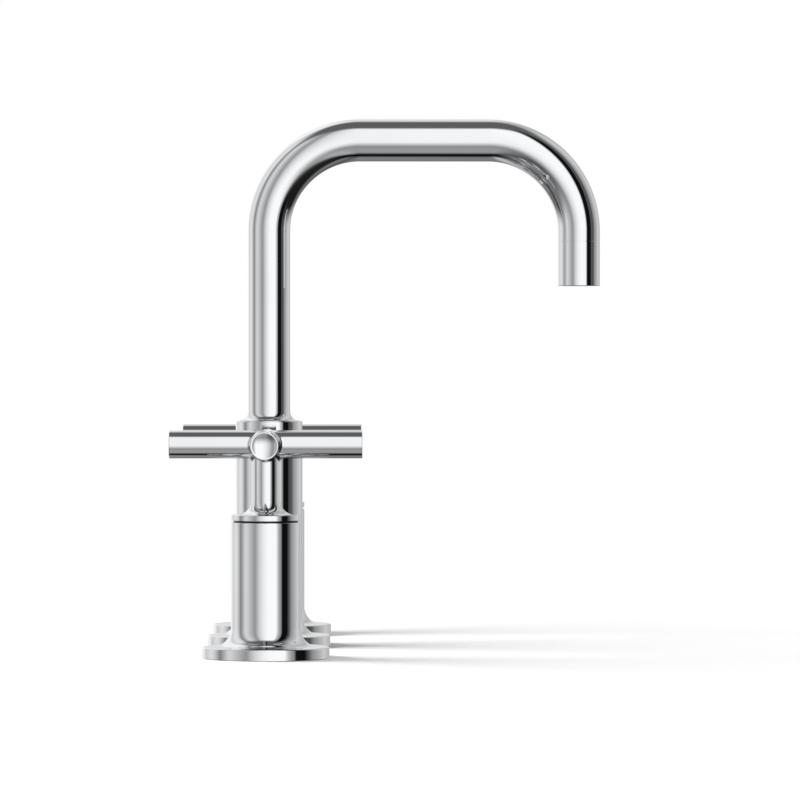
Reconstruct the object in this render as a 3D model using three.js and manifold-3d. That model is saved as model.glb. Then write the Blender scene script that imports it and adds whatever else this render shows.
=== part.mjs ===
// Widespread bathroom faucet: a hot valve, a spout and a cold valve that stand in a row on a deck.
// Millimetres, +Z up. The origin is on the deck at the spout's centre, and the spout points to -Y.
// The hot valve stands at -X and the cold valve at +X, both closed, with their arms along X and Y.

import * as THREE from 'three';
import { mergeVertices } from 'three/addons/utils/BufferGeometryUtils.js';
import Module from 'manifold-3d';

const wasm = await Module();
wasm.setup();

// Layout
const valveSpacing = 203.2; // hot valve to cold valve, centre to centre
const deckThickness = 30; // the deck that the washers and nuts below are set for

// Clearances and cuts
const fit = 0.3; // gap round a piece that seats in or on another
const overrun = 1; // how far a cutting shape runs past what it cuts

// Flange and column, alike on the three units
const columnRadius = 15.1;
const columnWall = 2;
const footFillet = 8; // concave fillet from the flange up to the column
const flangeLand = 4.5; // flat ring outside the fillet
const flangeThickness = 5;
const flangeWeb = 0.5; // metal left over the recess under the flange
const seatWidth = 3.1; // ring of the flange that stands on the deck
const edgeRound = 0.6;
const valveColumnHeight = 58.9;
const spoutColumnHeight = 101.3;
const gasketThickness = 1.5;

// Cross handle
const barRadius = 6.05; // the four arms and the stem are bars of one size
const armLength = 41.85; // from the stem's axis to an arm's tip
const junctionFillet = 2;
const tipRim = 0.6; // flat rim round each dished tip
const tipEdge = 0.3;
const dishDepth = 1.3;
const dishShare = 0.55; // of the dish's radius, where its middle ring lies
const stemLength = 15.6; // plain stem between the two fillets
const stemWall = 1.45;
const capGap = 0.7; // dark gap between the column and the cap
const capThickness = 2.5;
const capLedge = 2.25; // flat step inside the cap's rim
const capRimWall = 3.6;
const capHollow = 1.7; // depth of the hollow that takes the adapter's shoulder

// Glide ring in the gap
const glideRingHeight = 1.4;
const glideRimWall = 0.9; // column wall left round the ring
const glideLip = 0.5; // how far the ring reaches into the column's bore

// Handle adapter, its screw and the set screw
const postLength = 16;
const postWall = 1.25;
const socketWall = 3.2;
const socketDepth = 9;
const socketWeb = 3; // metal between the socket and the post's bore
const headToThreadShare = 1.83; // head diameter over thread diameter
const threadReach = 6; // how far the screw goes into the spindle
const setScrewRadius = 1.5;
const setScrewRise = 4.6; // above the adapter's shoulder

// Valve body and what clamps it to the deck
const neckWall = 0.8; // thread inside the column's foot
const neckHeight = 11;
const ringNutWall = 6.3;
const bodyWall = 2.7;
const chamberRelief = 1.3; // the water chamber is this much wider than the cartridge bore
const chamberHeight = 20.7;
const inletBore = 4.5;
const inletWall = 5.9;
const inletLength = 14;
const passageRadius = 1.6;
const outletRadius = 8;
const outletBore = 4.2;
const outletLength = 27; // from the valve's axis to the side outlet's end
const washerThickness = 3;
const washerWidth = 7;
const nutHeight = 8;
const nutWall = 4.2;
const nutClearance = 2; // below the mounting nut
const notchWidth = 4;
const notchDepth = 2.5;
const notchCount = 4;

// Ceramic cartridge
const cartridgeLength = 28;
const housingWall = 1.7;
const housingRoof = 3;
const housingNeckHeight = 9;
const housingNeckWall = 1.5;
const windowWidth = 7;
const windowHeight = 6;
const discThickness = 3;
const portInnerShare = 0.3; // of the disc's radius
const portOuterShare = 0.78;
const portAngle = 70; // degrees that each port spans
const sealThickness = 2.2;
const sealWidth = 2.2;
const spindleRadius = 4;
const spindleCollar = 1.5; // how far the collar under the O-ring stands out
const driveFlange = 4;
const oRingHeight = 2.4;
const glandHead = 4;
const glandPlug = 6;
const glandCornerGap = 0.4; // between the nut's corners and the column
const handleClearance = 1; // between the gland nut and the adapter

// Spout
const tubeRadius = 9.525;
const tubeWall = 1.4;
const bendRadius = 41;
const riserLength = 81.1; // straight tube from the collar's fillet to the first bend
const topRun = 57.7; // straight tube between the bends
const outletLeg = 4.6; // straight tube from the second bend to the seam
const collarLedge = 1.4; // column rim left outside the collar
const collarPlug = 14; // collar length inside the column
const grooveDepth = 1.8;
const collarRingShare = 0.5; // place of the O-ring along the plug
const shankBossWall = 2.3; // thread boss in the column's foot
const shankBossHeight = 17.5;
const shankWall = 4;
const shankEngagement = 14; // shank inside the tee
const teeWall = 3.2;
const teeReach = 32; // from the tee's axis to each end
const teeWeb = 1; // metal between the socket's floor and the run to the ends
const teeFoot = 5;

// Aerator
const sleeveLength = 20;
const sleeveWall = 1.5;
const sleeveShoulder = 5; // from the seam down to the shoulder inside
const sleeveLip = 0.8;
const spigotLength = 4;
const spigotWall = 1.5;
const aeratorWasher = 2;
const aeratorWasherWidth = 2.2;
const regulatorThickness = 4;
const regulatorHole = 1.2;
const regulatorHoleCount = 6;
const insertWall = 1.5;
const insertSpoke = 1.2;
const insertSpokeCount = 2;
const screenThickness = 0.8;
const screenPitch = 2.9;
const screenHole = 2;

// Counts
const outerSides = 24;
const barSides = 16; // a multiple of eight, so that the mitres of the cross meet
const innerSides = 14;
const screwSides = 10;
const hexagonSides = 6;
const filletSteps = 4;
const cornerSteps = 2;
const bendSteps = 6;
const boreBendSteps = 4;
const portSteps = 3;

// Sizes that follow from those above
const flangeRadius = columnRadius + footFillet + flangeLand;
const columnBore = columnRadius - columnWall;
const recessDepth = flangeThickness - flangeWeb;
const bodyRadius = columnBore - neckWall - fit;
const ringNutRadius = bodyRadius + ringNutWall;
const recessRadius = ringNutRadius + fit;
const grooveRadius = flangeRadius - seatWidth;

const capBottom = valveColumnHeight + capGap;
const capTop = capBottom + capThickness;
const capFillet = columnRadius - capLedge - barRadius;
const capHollowRadius = columnRadius - capRimWall;
const crossHeight = capTop + capFillet + stemLength + junctionFillet + barRadius;
const stemBore = barRadius - stemWall;

const shoulderHeight = capBottom + capHollow - fit;
const socketBottom = shoulderHeight - socketWeb - socketDepth;
const spindleTop = shoulderHeight - socketWeb - fit;
const postRadius = stemBore - fit;
const postTop = shoulderHeight + postLength;
const headRadius = postRadius - postWall - fit;
const threadRadius = headRadius / headToThreadShare;

const glandTop = socketBottom - handleClearance;
const bodyTop = glandTop - glandHead - fit;
const cartridgeTop = bodyTop - glandPlug - fit;
const cartridgeBottom = cartridgeTop - cartridgeLength;
const seatHeight = cartridgeBottom - fit;
const cartridgeBore = bodyRadius - bodyWall;
const chamberRadius = cartridgeBore + chamberRelief;
const housingRadius = cartridgeBore - fit;
const discBore = housingRadius - housingWall;
const discRadius = discBore - fit;
const housingNeckRadius = spindleRadius + fit + housingNeckWall;

const nutBottom = -deckThickness - washerThickness - nutHeight - 2 * fit;
const outletHeight = nutBottom - nutClearance - outletRadius;
const shankShoulder = outletHeight - outletRadius;
const bodyBottom = shankShoulder - inletLength;

const tubeBore = tubeRadius - tubeWall;
const collarRadius = columnRadius - collarLedge;
const collarFillet = collarRadius - tubeRadius;
const plugRadius = columnBore - fit;
const plugBottom = spoutColumnHeight - collarPlug;
const collarRingBottom = plugBottom + collarPlug * collarRingShare - oRingHeight / 2;
const collarSeat = spoutColumnHeight + fit;
const bendHeight = collarSeat + collarFillet + riserLength;
const reach = topRun + 2 * bendRadius;
const seamHeight = bendHeight - outletLeg;
const shankRadius = columnBore - shankBossWall - fit;
const shankBore = shankRadius - shankWall;
const teeTop = nutBottom - nutClearance;
const shankBottom = teeTop - shankEngagement;

// Finishes
const chrome = { color: 0xe2e4e6, roughness: 0.05, metalness: 1 };
const brass = { color: 0xc8a258, roughness: 0.35, metalness: 1 };
const steel = { color: 0xb4b8bc, roughness: 0.3, metalness: 1 };
const rubber = { color: 0x1b1c1d, roughness: 0.8, metalness: 0 };
const ceramic = { color: 0xf1ede4, roughness: 0.25, metalness: 0 };
const whiteAcetal = { color: 0xe6e7e4, roughness: 0.5, metalness: 0 };
const blackAcetal = { color: 0x1e1e1f, roughness: 0.5, metalness: 0 };

const radians = THREE.MathUtils.degToRad;

// Turns a geometry into one closed indexed surface that holds positions alone, without the
// triangles that have no area.
function closed(geometry) {
  geometry.deleteAttribute('normal');
  geometry.deleteAttribute('uv');
  const merged = mergeVertices(geometry);
  const corners = Array.from(merged.index.array);
  const hasArea = (_, place) => {
    const first = place - place % 3;
    return new Set(corners.slice(first, first + 3)).size === 3;
  };
  merged.setIndex(corners.filter(hasArea));
  return merged;
}

function toSolid(geometry) {
  return new wasm.Manifold(new wasm.Mesh({
    numProp: 3,
    vertProperties: new Float32Array(geometry.attributes.position.array),
    triVerts: new Uint32Array(geometry.index.array),
  }));
}

function toGeometry(solid) {
  const mesh = solid.getMesh();
  const geometry = new THREE.BufferGeometry();
  geometry.setAttribute('position', new THREE.BufferAttribute(mesh.vertProperties, mesh.numProp));
  geometry.setIndex(new THREE.BufferAttribute(mesh.triVerts, 1));
  return geometry;
}

function cut(base, ...tools) {
  return toGeometry(tools.reduce((solid, tool) => solid.subtract(toSolid(tool)), toSolid(base)));
}

function join(base, ...others) {
  return toGeometry(others.reduce((solid, other) => solid.add(toSolid(other)), toSolid(base)));
}

// Points [r, z] along a round stretch, with its angles in degrees from the outline's r axis.
function arc(centreR, centreZ, radius, from, to, steps = filletSteps) {
  return Array.from({ length: steps + 1 }, (_, step) => {
    const angle = radians(THREE.MathUtils.lerp(from, to, step / steps));
    return [centreR + radius * Math.cos(angle), centreZ + radius * Math.sin(angle)];
  });
}

// Revolves an outline of [r, z] points round Z. The outline runs upwards on its outer side, and
// either starts and ends on the axis or is closed on itself.
function revolve(outline, sides = innerSides) {
  const points = outline.map(([r, z]) => new THREE.Vector2(r, z));
  const onAxis = outline[0][0] === 0;
  if (!onAxis) points.push(points[0]);
  return closed(new THREE.LatheGeometry(points, sides).rotateX(Math.PI / 2));
}

function ring(outer, inner, bottom, top, sides = innerSides) {
  return revolve([[outer, bottom], [outer, top], [inner, top], [inner, bottom]], sides);
}

function rod(radius, bottom, top, sides = innerSides) {
  return revolve([[0, bottom], [radius, bottom], [radius, top], [0, top]], sides);
}

// A rod that lies along +X, or along +Y when it is turned on by a quarter turn.
function lyingRod(radius, from, to, height, quarterTurn = 0, sides = innerSides) {
  return rod(radius, from, to, sides).rotateY(Math.PI / 2).rotateZ(quarterTurn).translate(0, 0, height);
}

function box(width, depth, height) {
  return closed(new THREE.BoxGeometry(width, depth, height));
}

function disc(shape, bottom, thickness) {
  const settings = { depth: thickness, bevelEnabled: false, curveSegments: portSteps };
  return closed(new THREE.ExtrudeGeometry(shape, settings).translate(0, 0, bottom));
}

function circle(radius, sides = innerSides) {
  return Array.from({ length: sides }, (_, side) => {
    const angle = 2 * Math.PI * side / sides;
    return new THREE.Vector2(radius * Math.cos(angle), radius * Math.sin(angle));
  });
}

// Joins neighbouring rings of points into bands of triangles. Two rings may differ in their number
// of points, which start in the same direction, and a ring of one point is a pole.
function bands(rings) {
  const triangles = [];
  for (let row = 0; row + 1 < rings.length; row += 1) {
    const below = rings[row];
    const above = rings[row + 1];
    const lastBelow = below.length > 1 ? below.length : 0;
    const lastAbove = above.length > 1 ? above.length : 0;
    let low = 0;
    let high = 0;
    while (low < lastBelow || high < lastAbove) {
      const lowFirst = high === lastAbove || (low + 1) * above.length <= (high + 1) * below.length;
      const at = [below[low % below.length], above[high % above.length]];
      if (low < lastBelow && lowFirst) {
        low += 1;
        triangles.push(at[0], below[low % below.length], at[1]);
      } else {
        high += 1;
        triangles.push(at[0], above[high % above.length], at[1]);
      }
    }
  }
  return triangles;
}

function surface(triangles) {
  return closed(new THREE.BufferGeometry().setFromPoints(triangles));
}

// The flange and column that all three units have, standing on the deck. topOutline closes the
// column from its outer edge in to its bore, and the foot's thread has its own bore and height.
function escutcheon(height, footBore, footHeight, topOutline) {
  const filletRadius = columnRadius + footFillet;
  return revolve([
    [flangeRadius, 0],
    ...arc(flangeRadius - edgeRound, flangeThickness - edgeRound, edgeRound, 0, 90, 1),
    ...arc(filletRadius, flangeThickness + footFillet, footFillet, 270, 180),
    ...arc(columnRadius - edgeRound / 2, height - edgeRound / 2, edgeRound / 2, 0, 90, 1),
    ...topOutline,
    [columnBore, recessDepth + footHeight],
    [footBore, recessDepth + footHeight],
    [footBore, recessDepth],
    [recessRadius, recessDepth],
    [recessRadius, gasketThickness + fit],
    [grooveRadius, gasketThickness + fit],
    [grooveRadius, 0],
  ], outerSides);
}

function valveEscutcheon() {
  const counterbore = columnRadius - glideRimWall;
  const seat = capBottom - fit - glideRingHeight - fit;
  return escutcheon(valveColumnHeight, bodyRadius + fit, neckHeight, [
    [counterbore, valveColumnHeight],
    [counterbore, seat],
    [columnBore, seat],
  ]);
}

function spoutEscutcheon() {
  return escutcheon(spoutColumnHeight, shankRadius + fit, shankBossHeight, [
    [columnBore, spoutColumnHeight],
  ]);
}

function deckGasket() {
  return ring(grooveRadius - fit, recessRadius + fit, 0, gasketThickness);
}

function glideRing() {
  const top = capBottom - fit;
  const outer = columnRadius - glideRimWall - fit;
  return ring(outer, columnBore - glideLip, top - glideRingHeight, top);
}

// Ring nut with wrench notches round its rim.
function upperRingNut() {
  const nut = ring(ringNutRadius, bodyRadius + fit, fit, recessDepth - fit);
  const notches = Array.from({ length: notchCount }, (_, index) =>
    box(2 * notchDepth, notchWidth, 2 * recessDepth)
      .translate(ringNutRadius, 0, 0)
      .rotateZ(2 * Math.PI * index / notchCount));
  return cut(nut, ...notches);
}

// Brass body: shank through the deck, cartridge bore and water chamber above, an inlet in the
// middle and one waterway from the chamber down to the side outlet.
function valveBody() {
  const bored = revolve([
    [inletBore + inletWall, bodyBottom],
    [inletBore + inletWall, shankShoulder],
    [bodyRadius, shankShoulder],
    [bodyRadius, bodyTop],
    [cartridgeBore, bodyTop],
    [cartridgeBore, seatHeight + chamberHeight],
    [chamberRadius, seatHeight + chamberHeight],
    [chamberRadius, seatHeight],
    [inletBore, seatHeight],
    [inletBore, bodyBottom],
  ]);
  const passagePlace = chamberRadius - passageRadius;
  const outlet = lyingRod(outletRadius, passagePlace, outletLength, outletHeight);
  const passage = rod(passageRadius, outletHeight, seatHeight + overrun, screwSides);
  const port = lyingRod(outletBore, passagePlace - passageRadius, outletLength + overrun, outletHeight);
  return cut(join(bored, outlet), passage.translate(passagePlace, 0, 0), port);
}

function mountingWasher(shank) {
  const top = -deckThickness;
  return ring(shank + fit + washerWidth, shank + fit, top - washerThickness, top);
}

function hexagonNut(acrossCorners, bore, bottom, top) {
  return cut(rod(acrossCorners / 2, bottom, top, hexagonSides), rod(bore, bottom - overrun, top + overrun));
}

function mountingNut(shank) {
  const flats = shank + fit + nutWall;
  return hexagonNut(2 * flats / Math.cos(Math.PI / 6), shank + fit, nutBottom, nutBottom + nutHeight);
}

function seatSeal() {
  const bottom = cartridgeBottom;
  return ring(discRadius, discRadius - sealWidth, bottom, bottom + sealThickness);
}

// Disc with two ports that face each other, turned to where they stand in the closed valve.
function portedDisc(bottom, direction) {
  const shape = new THREE.Shape(circle(discRadius));
  for (const side of [0, Math.PI]) {
    const from = direction + side - radians(portAngle) / 2;
    const to = direction + side + radians(portAngle) / 2;
    const port = new THREE.Path();
    port.absarc(0, 0, discRadius * portOuterShare, from, to, false);
    port.absarc(0, 0, discRadius * portInnerShare, to, from, true);
    port.closePath();
    shape.holes.push(port);
  }
  return disc(shape, bottom, discThickness);
}

const fixedDiscBottom = cartridgeBottom + sealThickness + fit;
const movingDiscBottom = fixedDiscBottom + discThickness + fit;
const driveBottom = movingDiscBottom + discThickness + fit;
const driveTop = driveBottom + driveFlange;
const housingRoofHeight = cartridgeTop - housingRoof;
const oRingBottom = housingRoofHeight - fit - oRingHeight;

function cartridgeHousing() {
  const shell = revolve([
    [housingRadius, cartridgeBottom],
    [housingRadius, cartridgeTop],
    [housingNeckRadius, cartridgeTop],
    [housingNeckRadius, cartridgeTop + housingNeckHeight],
    [spindleRadius + fit, cartridgeTop + housingNeckHeight],
    [spindleRadius + fit, housingRoofHeight],
    [discBore, housingRoofHeight],
    [discBore, cartridgeBottom],
  ]);
  const window = box(2 * (housingRadius + overrun), windowWidth, windowHeight);
  return cut(shell, window.translate(0, 0, movingDiscBottom + windowHeight / 2));
}

// Spindle with its drive flange on the moving disc, a collar under the O-ring and a screw hole.
function spindle() {
  const collar = spindleRadius + spindleCollar;
  const holeRadius = threadRadius + fit;
  const holeBottom = spindleTop + fit - threadReach;
  return revolve([
    [0, driveBottom],
    [discRadius, driveBottom],
    [discRadius, driveTop],
    [collar, driveTop],
    [collar, oRingBottom - fit],
    [spindleRadius, oRingBottom - fit],
    [spindleRadius, spindleTop],
    [holeRadius, spindleTop],
    [holeRadius, holeBottom],
    [0, holeBottom],
  ]);
}

// Rubber ring of six-sided section between two radii.
function oRing(outer, inner, bottom, height) {
  const middle = (outer + inner) / 2;
  const halfWidth = (outer - inner) / 2;
  const section = arc(0, 0, 1, 0, 300, 5).map(([across, up]) =>
    [middle + halfWidth * across, bottom + height / 2 + height * up / 2]);
  return revolve(section);
}

function spindleORing() {
  return oRing(discBore - fit, spindleRadius + fit, oRingBottom, oRingHeight);
}

function glandNut() {
  const corner = columnBore - glandCornerGap;
  const headBottom = glandTop - glandHead;
  const plugBottomEdge = cartridgeTop + fit;
  const plug = rod(cartridgeBore - fit, plugBottomEdge, headBottom + overrun);
  const head = rod(corner, headBottom, glandTop, hexagonSides);
  const bore = rod(housingNeckRadius + fit, plugBottomEdge - overrun, glandTop + overrun);
  return cut(join(plug, head), bore);
}

// Adapter: a socket over the spindle, a shoulder for the cap and a post up the handle's stem.
function handleAdapter() {
  const socket = spindleRadius + fit;
  const postBore = headRadius + fit;
  const screwHole = threadRadius + fit;
  return revolve([
    [socket + socketWall, socketBottom],
    [socket + socketWall, shoulderHeight],
    [postRadius, shoulderHeight],
    [postRadius, postTop],
    [postBore, postTop],
    [postBore, shoulderHeight],
    [screwHole, shoulderHeight],
    [screwHole, shoulderHeight - socketWeb],
    [socket, shoulderHeight - socketWeb],
    [socket, socketBottom],
  ]);
}

function adapterScrew() {
  const head = shoulderHeight + fit;
  const headHeight = 2 * threadRadius;
  const tip = shoulderHeight - socketWeb - threadReach + 2 * fit;
  const screw = revolve([
    [0, tip],
    [threadRadius, tip],
    [threadRadius, head],
    [headRadius, head],
    [headRadius, head + headHeight],
    [0, head + headHeight],
  ], screwSides);
  const drive = rod(headRadius / 2, head + headHeight / 2, head + headHeight + overrun,
    hexagonSides);
  return cut(screw, drive);
}

const setScrewHeight = shoulderHeight + setScrewRise;

function setScrew() {
  const outer = barRadius + fit;
  const drive = setScrewRadius / 2;
  return cut(
    lyingRod(setScrewRadius, stemBore, outer, setScrewHeight, Math.PI / 2, screwSides),
    lyingRod(drive, outer - setScrewRadius / 2, outer + overrun, setScrewHeight, Math.PI / 2,
      hexagonSides),
  );
}

// Cosines and sines round a bar, exact mirror images in the four quarters.
function directions(sides) {
  const tidy = (value) => Math.round(value * 1e9) / 1e9;
  return Array.from({ length: sides }, (_, side) => {
    const angle = 2 * Math.PI * side / sides;
    return [tidy(Math.cos(angle)), tidy(Math.sin(angle))];
  });
}

// Rows of the fillet that a ball rolled along the corner between crossing bars of one radius
// leaves on one bar. The bar lies along +X, across is [y, z] round it, and its neighbours are the
// side arms along Y and, where stemBelow is true, the stem along -Z. The first row lies on the
// mitre with the neighbour and the last on the bar itself.
function cornerRows(across, stemBelow) {
  const rolled = barRadius + junctionFillet;
  const [y, z] = across;
  const sideways = Math.abs(y);
  const upright = stemBelow ? -z : Math.abs(z);
  const along = Math.max(sideways, upright);
  const centre = new THREE.Vector3(along, y, z).multiplyScalar(rolled);
  const toBar = new THREE.Vector3(0, -y, -z);
  const mitre = toBar.clone();
  if (sideways >= upright) mitre.add(new THREE.Vector3(-along, 0, -z));
  if (upright >= sideways) mitre.add(new THREE.Vector3(-along, -y, 0));
  mitre.normalize();
  const swing = mitre.angleTo(toBar);
  const hinge = new THREE.Vector3().crossVectors(mitre, toBar).normalize();
  return Array.from({ length: cornerSteps + 1 }, (_, step) => {
    const spoke = swing > 0 ? mitre.clone().applyAxisAngle(hinge, swing * step / cornerSteps) : toBar;
    return centre.clone().addScaledVector(spoke, junctionFillet);
  });
}

// One arm along +X, from its mitres with its neighbours out to the dished tip.
function armRings() {
  const around = directions(barSides);
  const corner = around.map((across) => cornerRows(across, true));
  const fillet = Array.from({ length: cornerSteps + 1 }, (_, step) => corner.map((rows) => rows[step]));
  const plain = (x, radius) => around.map(([y, z]) => new THREE.Vector3(x, radius * y, radius * z));
  const dish = barRadius - tipRim;
  const dishRings = [1, dishShare].map((share) =>
    plain(armLength - dishDepth * (1 - share * share), dish * share));
  const centre = [new THREE.Vector3(armLength - dishDepth, 0, 0)];
  return [
    ...fillet,
    plain(armLength - tipEdge, barRadius),
    plain(armLength, barRadius - tipEdge),
    ...dishRings,
    centre,
  ];
}

// The stem from its mitres with the arms down over the cap, then up inside to the blind bore.
function stemRings() {
  const around = directions(barSides).reverse();
  const turnDown = (point) => new THREE.Vector3(point.z, point.y, -point.x);
  const corner = around.map(([x, y]) => cornerRows([y, x], false).map(turnDown));
  const fillet = Array.from({ length: cornerSteps + 1 }, (_, step) => corner.map((rows) => rows[step]));
  const level = ([r, z], sides) => directions(sides).reverse().map(([x, y]) =>
    new THREE.Vector3(r * x, r * y, z - crossHeight));
  const [filletTop, ...filletRest] =
    arc(barRadius + capFillet, capTop + capFillet, capFillet, 180, 270);
  const cap = [
    ...filletRest,
    [columnRadius - edgeRound / 2, capTop],
    [columnRadius, capTop - edgeRound / 2],
    [columnRadius, capBottom],
    [capHollowRadius, capBottom],
    [capHollowRadius, capBottom + capHollow],
  ];
  const bore = [[stemBore, capBottom + capHollow], [stemBore, postTop + fit]];
  const end = [new THREE.Vector3(0, 0, postTop + fit + stemBore / 2 - crossHeight)];
  return [
    ...fillet,
    level(filletTop, barSides),
    ...cap.map((point) => level(point, outerSides)),
    ...bore.map((point) => level(point, barSides)),
    end,
  ];
}

// The same point after a number of quarter turns about Z.
function quarterTurned(point, turns) {
  return turns === 0 ? point : quarterTurned(new THREE.Vector3(-point.y, point.x, point.z), turns - 1);
}

// Cross handle in one piece: four arms and the stem meet in rolled fillets, and the cap's hollow,
// the stem's bore and the set screw's hole take the adapter.
function crossHandle() {
  const arm = bands(armRings());
  const arms = [0, 1, 2, 3].flatMap((turns) => arm.map((point) => quarterTurned(point, turns)));
  const handle = surface([...arms, ...bands(stemRings())]).translate(0, 0, crossHeight);
  const hole = lyingRod(setScrewRadius + fit, stemBore - overrun, columnRadius, setScrewHeight,
    Math.PI / 2, screwSides);
  return cut(handle, hole);
}

// A ring of points round the spout's centre line.
function spoutRing({ centre, tilt }, radius, sides = barSides) {
  const sideways = new THREE.Vector3(1, 0, 0);
  return directions(sides).map(([x, y]) =>
    new THREE.Vector3(radius * x, radius * y, 0).applyAxisAngle(sideways, tilt).add(centre));
}

// Places along the spout's centre line round its two bends, each in equal steps.
function bendPlaces(steps) {
  const turns = Array.from({ length: steps + 1 }, (_, step) => Math.PI / 2 * step / steps);
  const first = turns.map((turn) => {
    const y = -bendRadius * (1 - Math.cos(turn));
    const z = bendHeight + bendRadius * Math.sin(turn);
    return { centre: new THREE.Vector3(0, y, z), tilt: turn };
  });
  const second = turns.map((turn) => {
    const y = -reach + bendRadius * (1 - Math.sin(turn));
    const z = bendHeight + bendRadius * Math.cos(turn);
    return { centre: new THREE.Vector3(0, y, z), tilt: Math.PI / 2 + turn };
  });
  return [...first, ...second];
}

function upright(z) {
  return { centre: new THREE.Vector3(0, 0, z), tilt: 0 };
}

// Bent tube with its collar: a plug with an O-ring groove inside the column, a fillet that stands
// on the column's rim, and the tube itself, hollow from end to end.
function spoutTube() {
  const grooveRadius = plugRadius - grooveDepth;
  const grooveBottom = collarRingBottom - fit;
  const grooveTop = collarRingBottom + oRingHeight + fit;
  const collar = [
    [plugRadius, plugBottom],
    [plugRadius, grooveBottom],
    [grooveRadius, grooveBottom],
    [grooveRadius, grooveTop],
    [plugRadius, grooveTop],
    [plugRadius, collarSeat],
    ...arc(collarRadius, collarSeat + collarFillet, collarFillet, 270, 180).slice(0, -1),
  ];
  const end = { centre: new THREE.Vector3(0, -reach, seamHeight + fit), tilt: Math.PI };
  const skin = [
    ...collar.map(([r, z]) => spoutRing(upright(z), r, outerSides)),
    spoutRing(upright(collarSeat + collarFillet), tubeRadius),
    ...bendPlaces(bendSteps).map((place) => spoutRing(place, tubeRadius)),
    spoutRing(end, tubeRadius),
  ];
  const bore = [
    spoutRing(end, tubeBore),
    ...bendPlaces(boreBendSteps).reverse().map((place) => spoutRing(place, tubeBore)),
    spoutRing(upright(plugBottom), tubeBore),
  ];
  return surface(bands([...skin, ...bore, skin[0]]));
}

function collarORing() {
  const inner = plugRadius - grooveDepth + fit;
  return oRing(columnBore - fit, inner, collarRingBottom, oRingHeight);
}

function spoutShank() {
  return ring(shankRadius, shankBore, shankBottom, recessDepth + shankBossHeight - fit);
}

const teeSealTop = shankBottom - fit;
const teeFloor = teeSealTop - sealThickness - fit;
const teeHeight = teeFloor - teeWeb - outletRadius;

function teeSeal() {
  return ring(shankRadius, shankBore + fit, teeSealTop - sealThickness, teeSealTop);
}

// Tee below the deck: a socket on the shank's end and an end to each side for hot and cold.
function spoutTee() {
  const outer = shankRadius + fit + teeWall;
  const socket = revolve([
    [0, teeHeight - outletRadius - teeFoot],
    [outletRadius, teeHeight - outletRadius - teeFoot],
    [outer, teeHeight - outletRadius],
    [outer, teeTop],
    [shankRadius + fit, teeTop],
    [shankRadius + fit, teeFloor],
    [0, teeFloor],
  ]);
  const ends = lyingRod(outletRadius, -teeReach, teeReach, teeHeight);
  const bore = lyingRod(outletBore, -teeReach - overrun, teeReach + overrun, teeHeight);
  const drop = rod(shankBore, teeHeight, teeFloor + overrun);
  return cut(join(socket, ends), bore, drop);
}

// Aerator sleeve: the last stretch of the outlet, with a spigot in the tube and a lip at the mouth.
const mouthHeight = seamHeight - sleeveLength;
const sleeveBore = tubeRadius - sleeveWall;
const aeratorShoulder = seamHeight - sleeveShoulder;
const lipTop = mouthHeight + sleeveLip;
const innerPackRadius = sleeveBore - fit;

function aeratorSleeve() {
  const spigot = tubeBore - fit;
  return revolve([
    [tubeRadius, mouthHeight],
    [tubeRadius, seamHeight],
    [spigot, seamHeight],
    [spigot, seamHeight + spigotLength],
    [spigot - spigotWall, seamHeight + spigotLength],
    [spigot - spigotWall, aeratorShoulder],
    [sleeveBore, aeratorShoulder],
    [sleeveBore, lipTop],
    [sleeveBore - sleeveLip, lipTop],
    [sleeveBore - sleeveLip, mouthHeight],
  ], barSides);
}

const washerBottom = aeratorShoulder - fit - aeratorWasher;
const regulatorBottom = washerBottom - fit - regulatorThickness;
const screenBottom = lipTop + fit;
const insertBottom = screenBottom + screenThickness + fit;
const insertTop = regulatorBottom - fit;

function aeratorWasherRing() {
  const inner = innerPackRadius - aeratorWasherWidth;
  return ring(innerPackRadius, inner, washerBottom, washerBottom + aeratorWasher);
}

// Disc with a ring of water holes.
function flowRegulator() {
  const holes = Array.from({ length: regulatorHoleCount }, (_, index) =>
    rod(regulatorHole, regulatorBottom - overrun, washerBottom + overrun, hexagonSides)
      .translate(innerPackRadius / 2, 0, 0)
      .rotateZ(2 * Math.PI * index / regulatorHoleCount));
  return cut(rod(innerPackRadius, regulatorBottom, regulatorBottom + regulatorThickness), ...holes);
}

// Insert with crossed spokes between which the water picks up air.
function aeratorInsert() {
  const rim = innerPackRadius - insertWall;
  const height = insertTop - insertBottom;
  const spokes = Array.from({ length: insertSpokeCount }, (_, index) =>
    box(2 * rim + insertWall, insertSpoke, height / 2)
      .translate(0, 0, insertBottom + height / 2)
      .rotateZ(Math.PI * (index + 1 / 4) / insertSpokeCount));
  return join(ring(innerPackRadius, rim, insertBottom, insertTop), ...spokes);
}

// Mesh in the mouth: a grid of square holes as far as they fit in the disc.
function aeratorScreen() {
  const holes = [];
  const room = sleeveBore - sleeveLip;
  const half = screenHole / 2;
  const reachCount = Math.floor(room / screenPitch);
  for (let column = -reachCount; column <= reachCount; column += 1) {
    for (let row = -reachCount; row <= reachCount; row += 1) {
      const x = column * screenPitch;
      const y = row * screenPitch;
      if (Math.hypot(Math.abs(x) + half, Math.abs(y) + half) < room) {
        holes.push(box(screenHole, screenHole, 3 * screenThickness).translate(x, y, screenBottom));
      }
    }
  }
  return cut(rod(innerPackRadius, screenBottom, screenBottom + screenThickness), ...holes);
}

function piece(name, geometry, finish) {
  const mesh = new THREE.Mesh(geometry, new THREE.MeshStandardMaterial(finish));
  mesh.name = name;
  return mesh;
}

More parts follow.
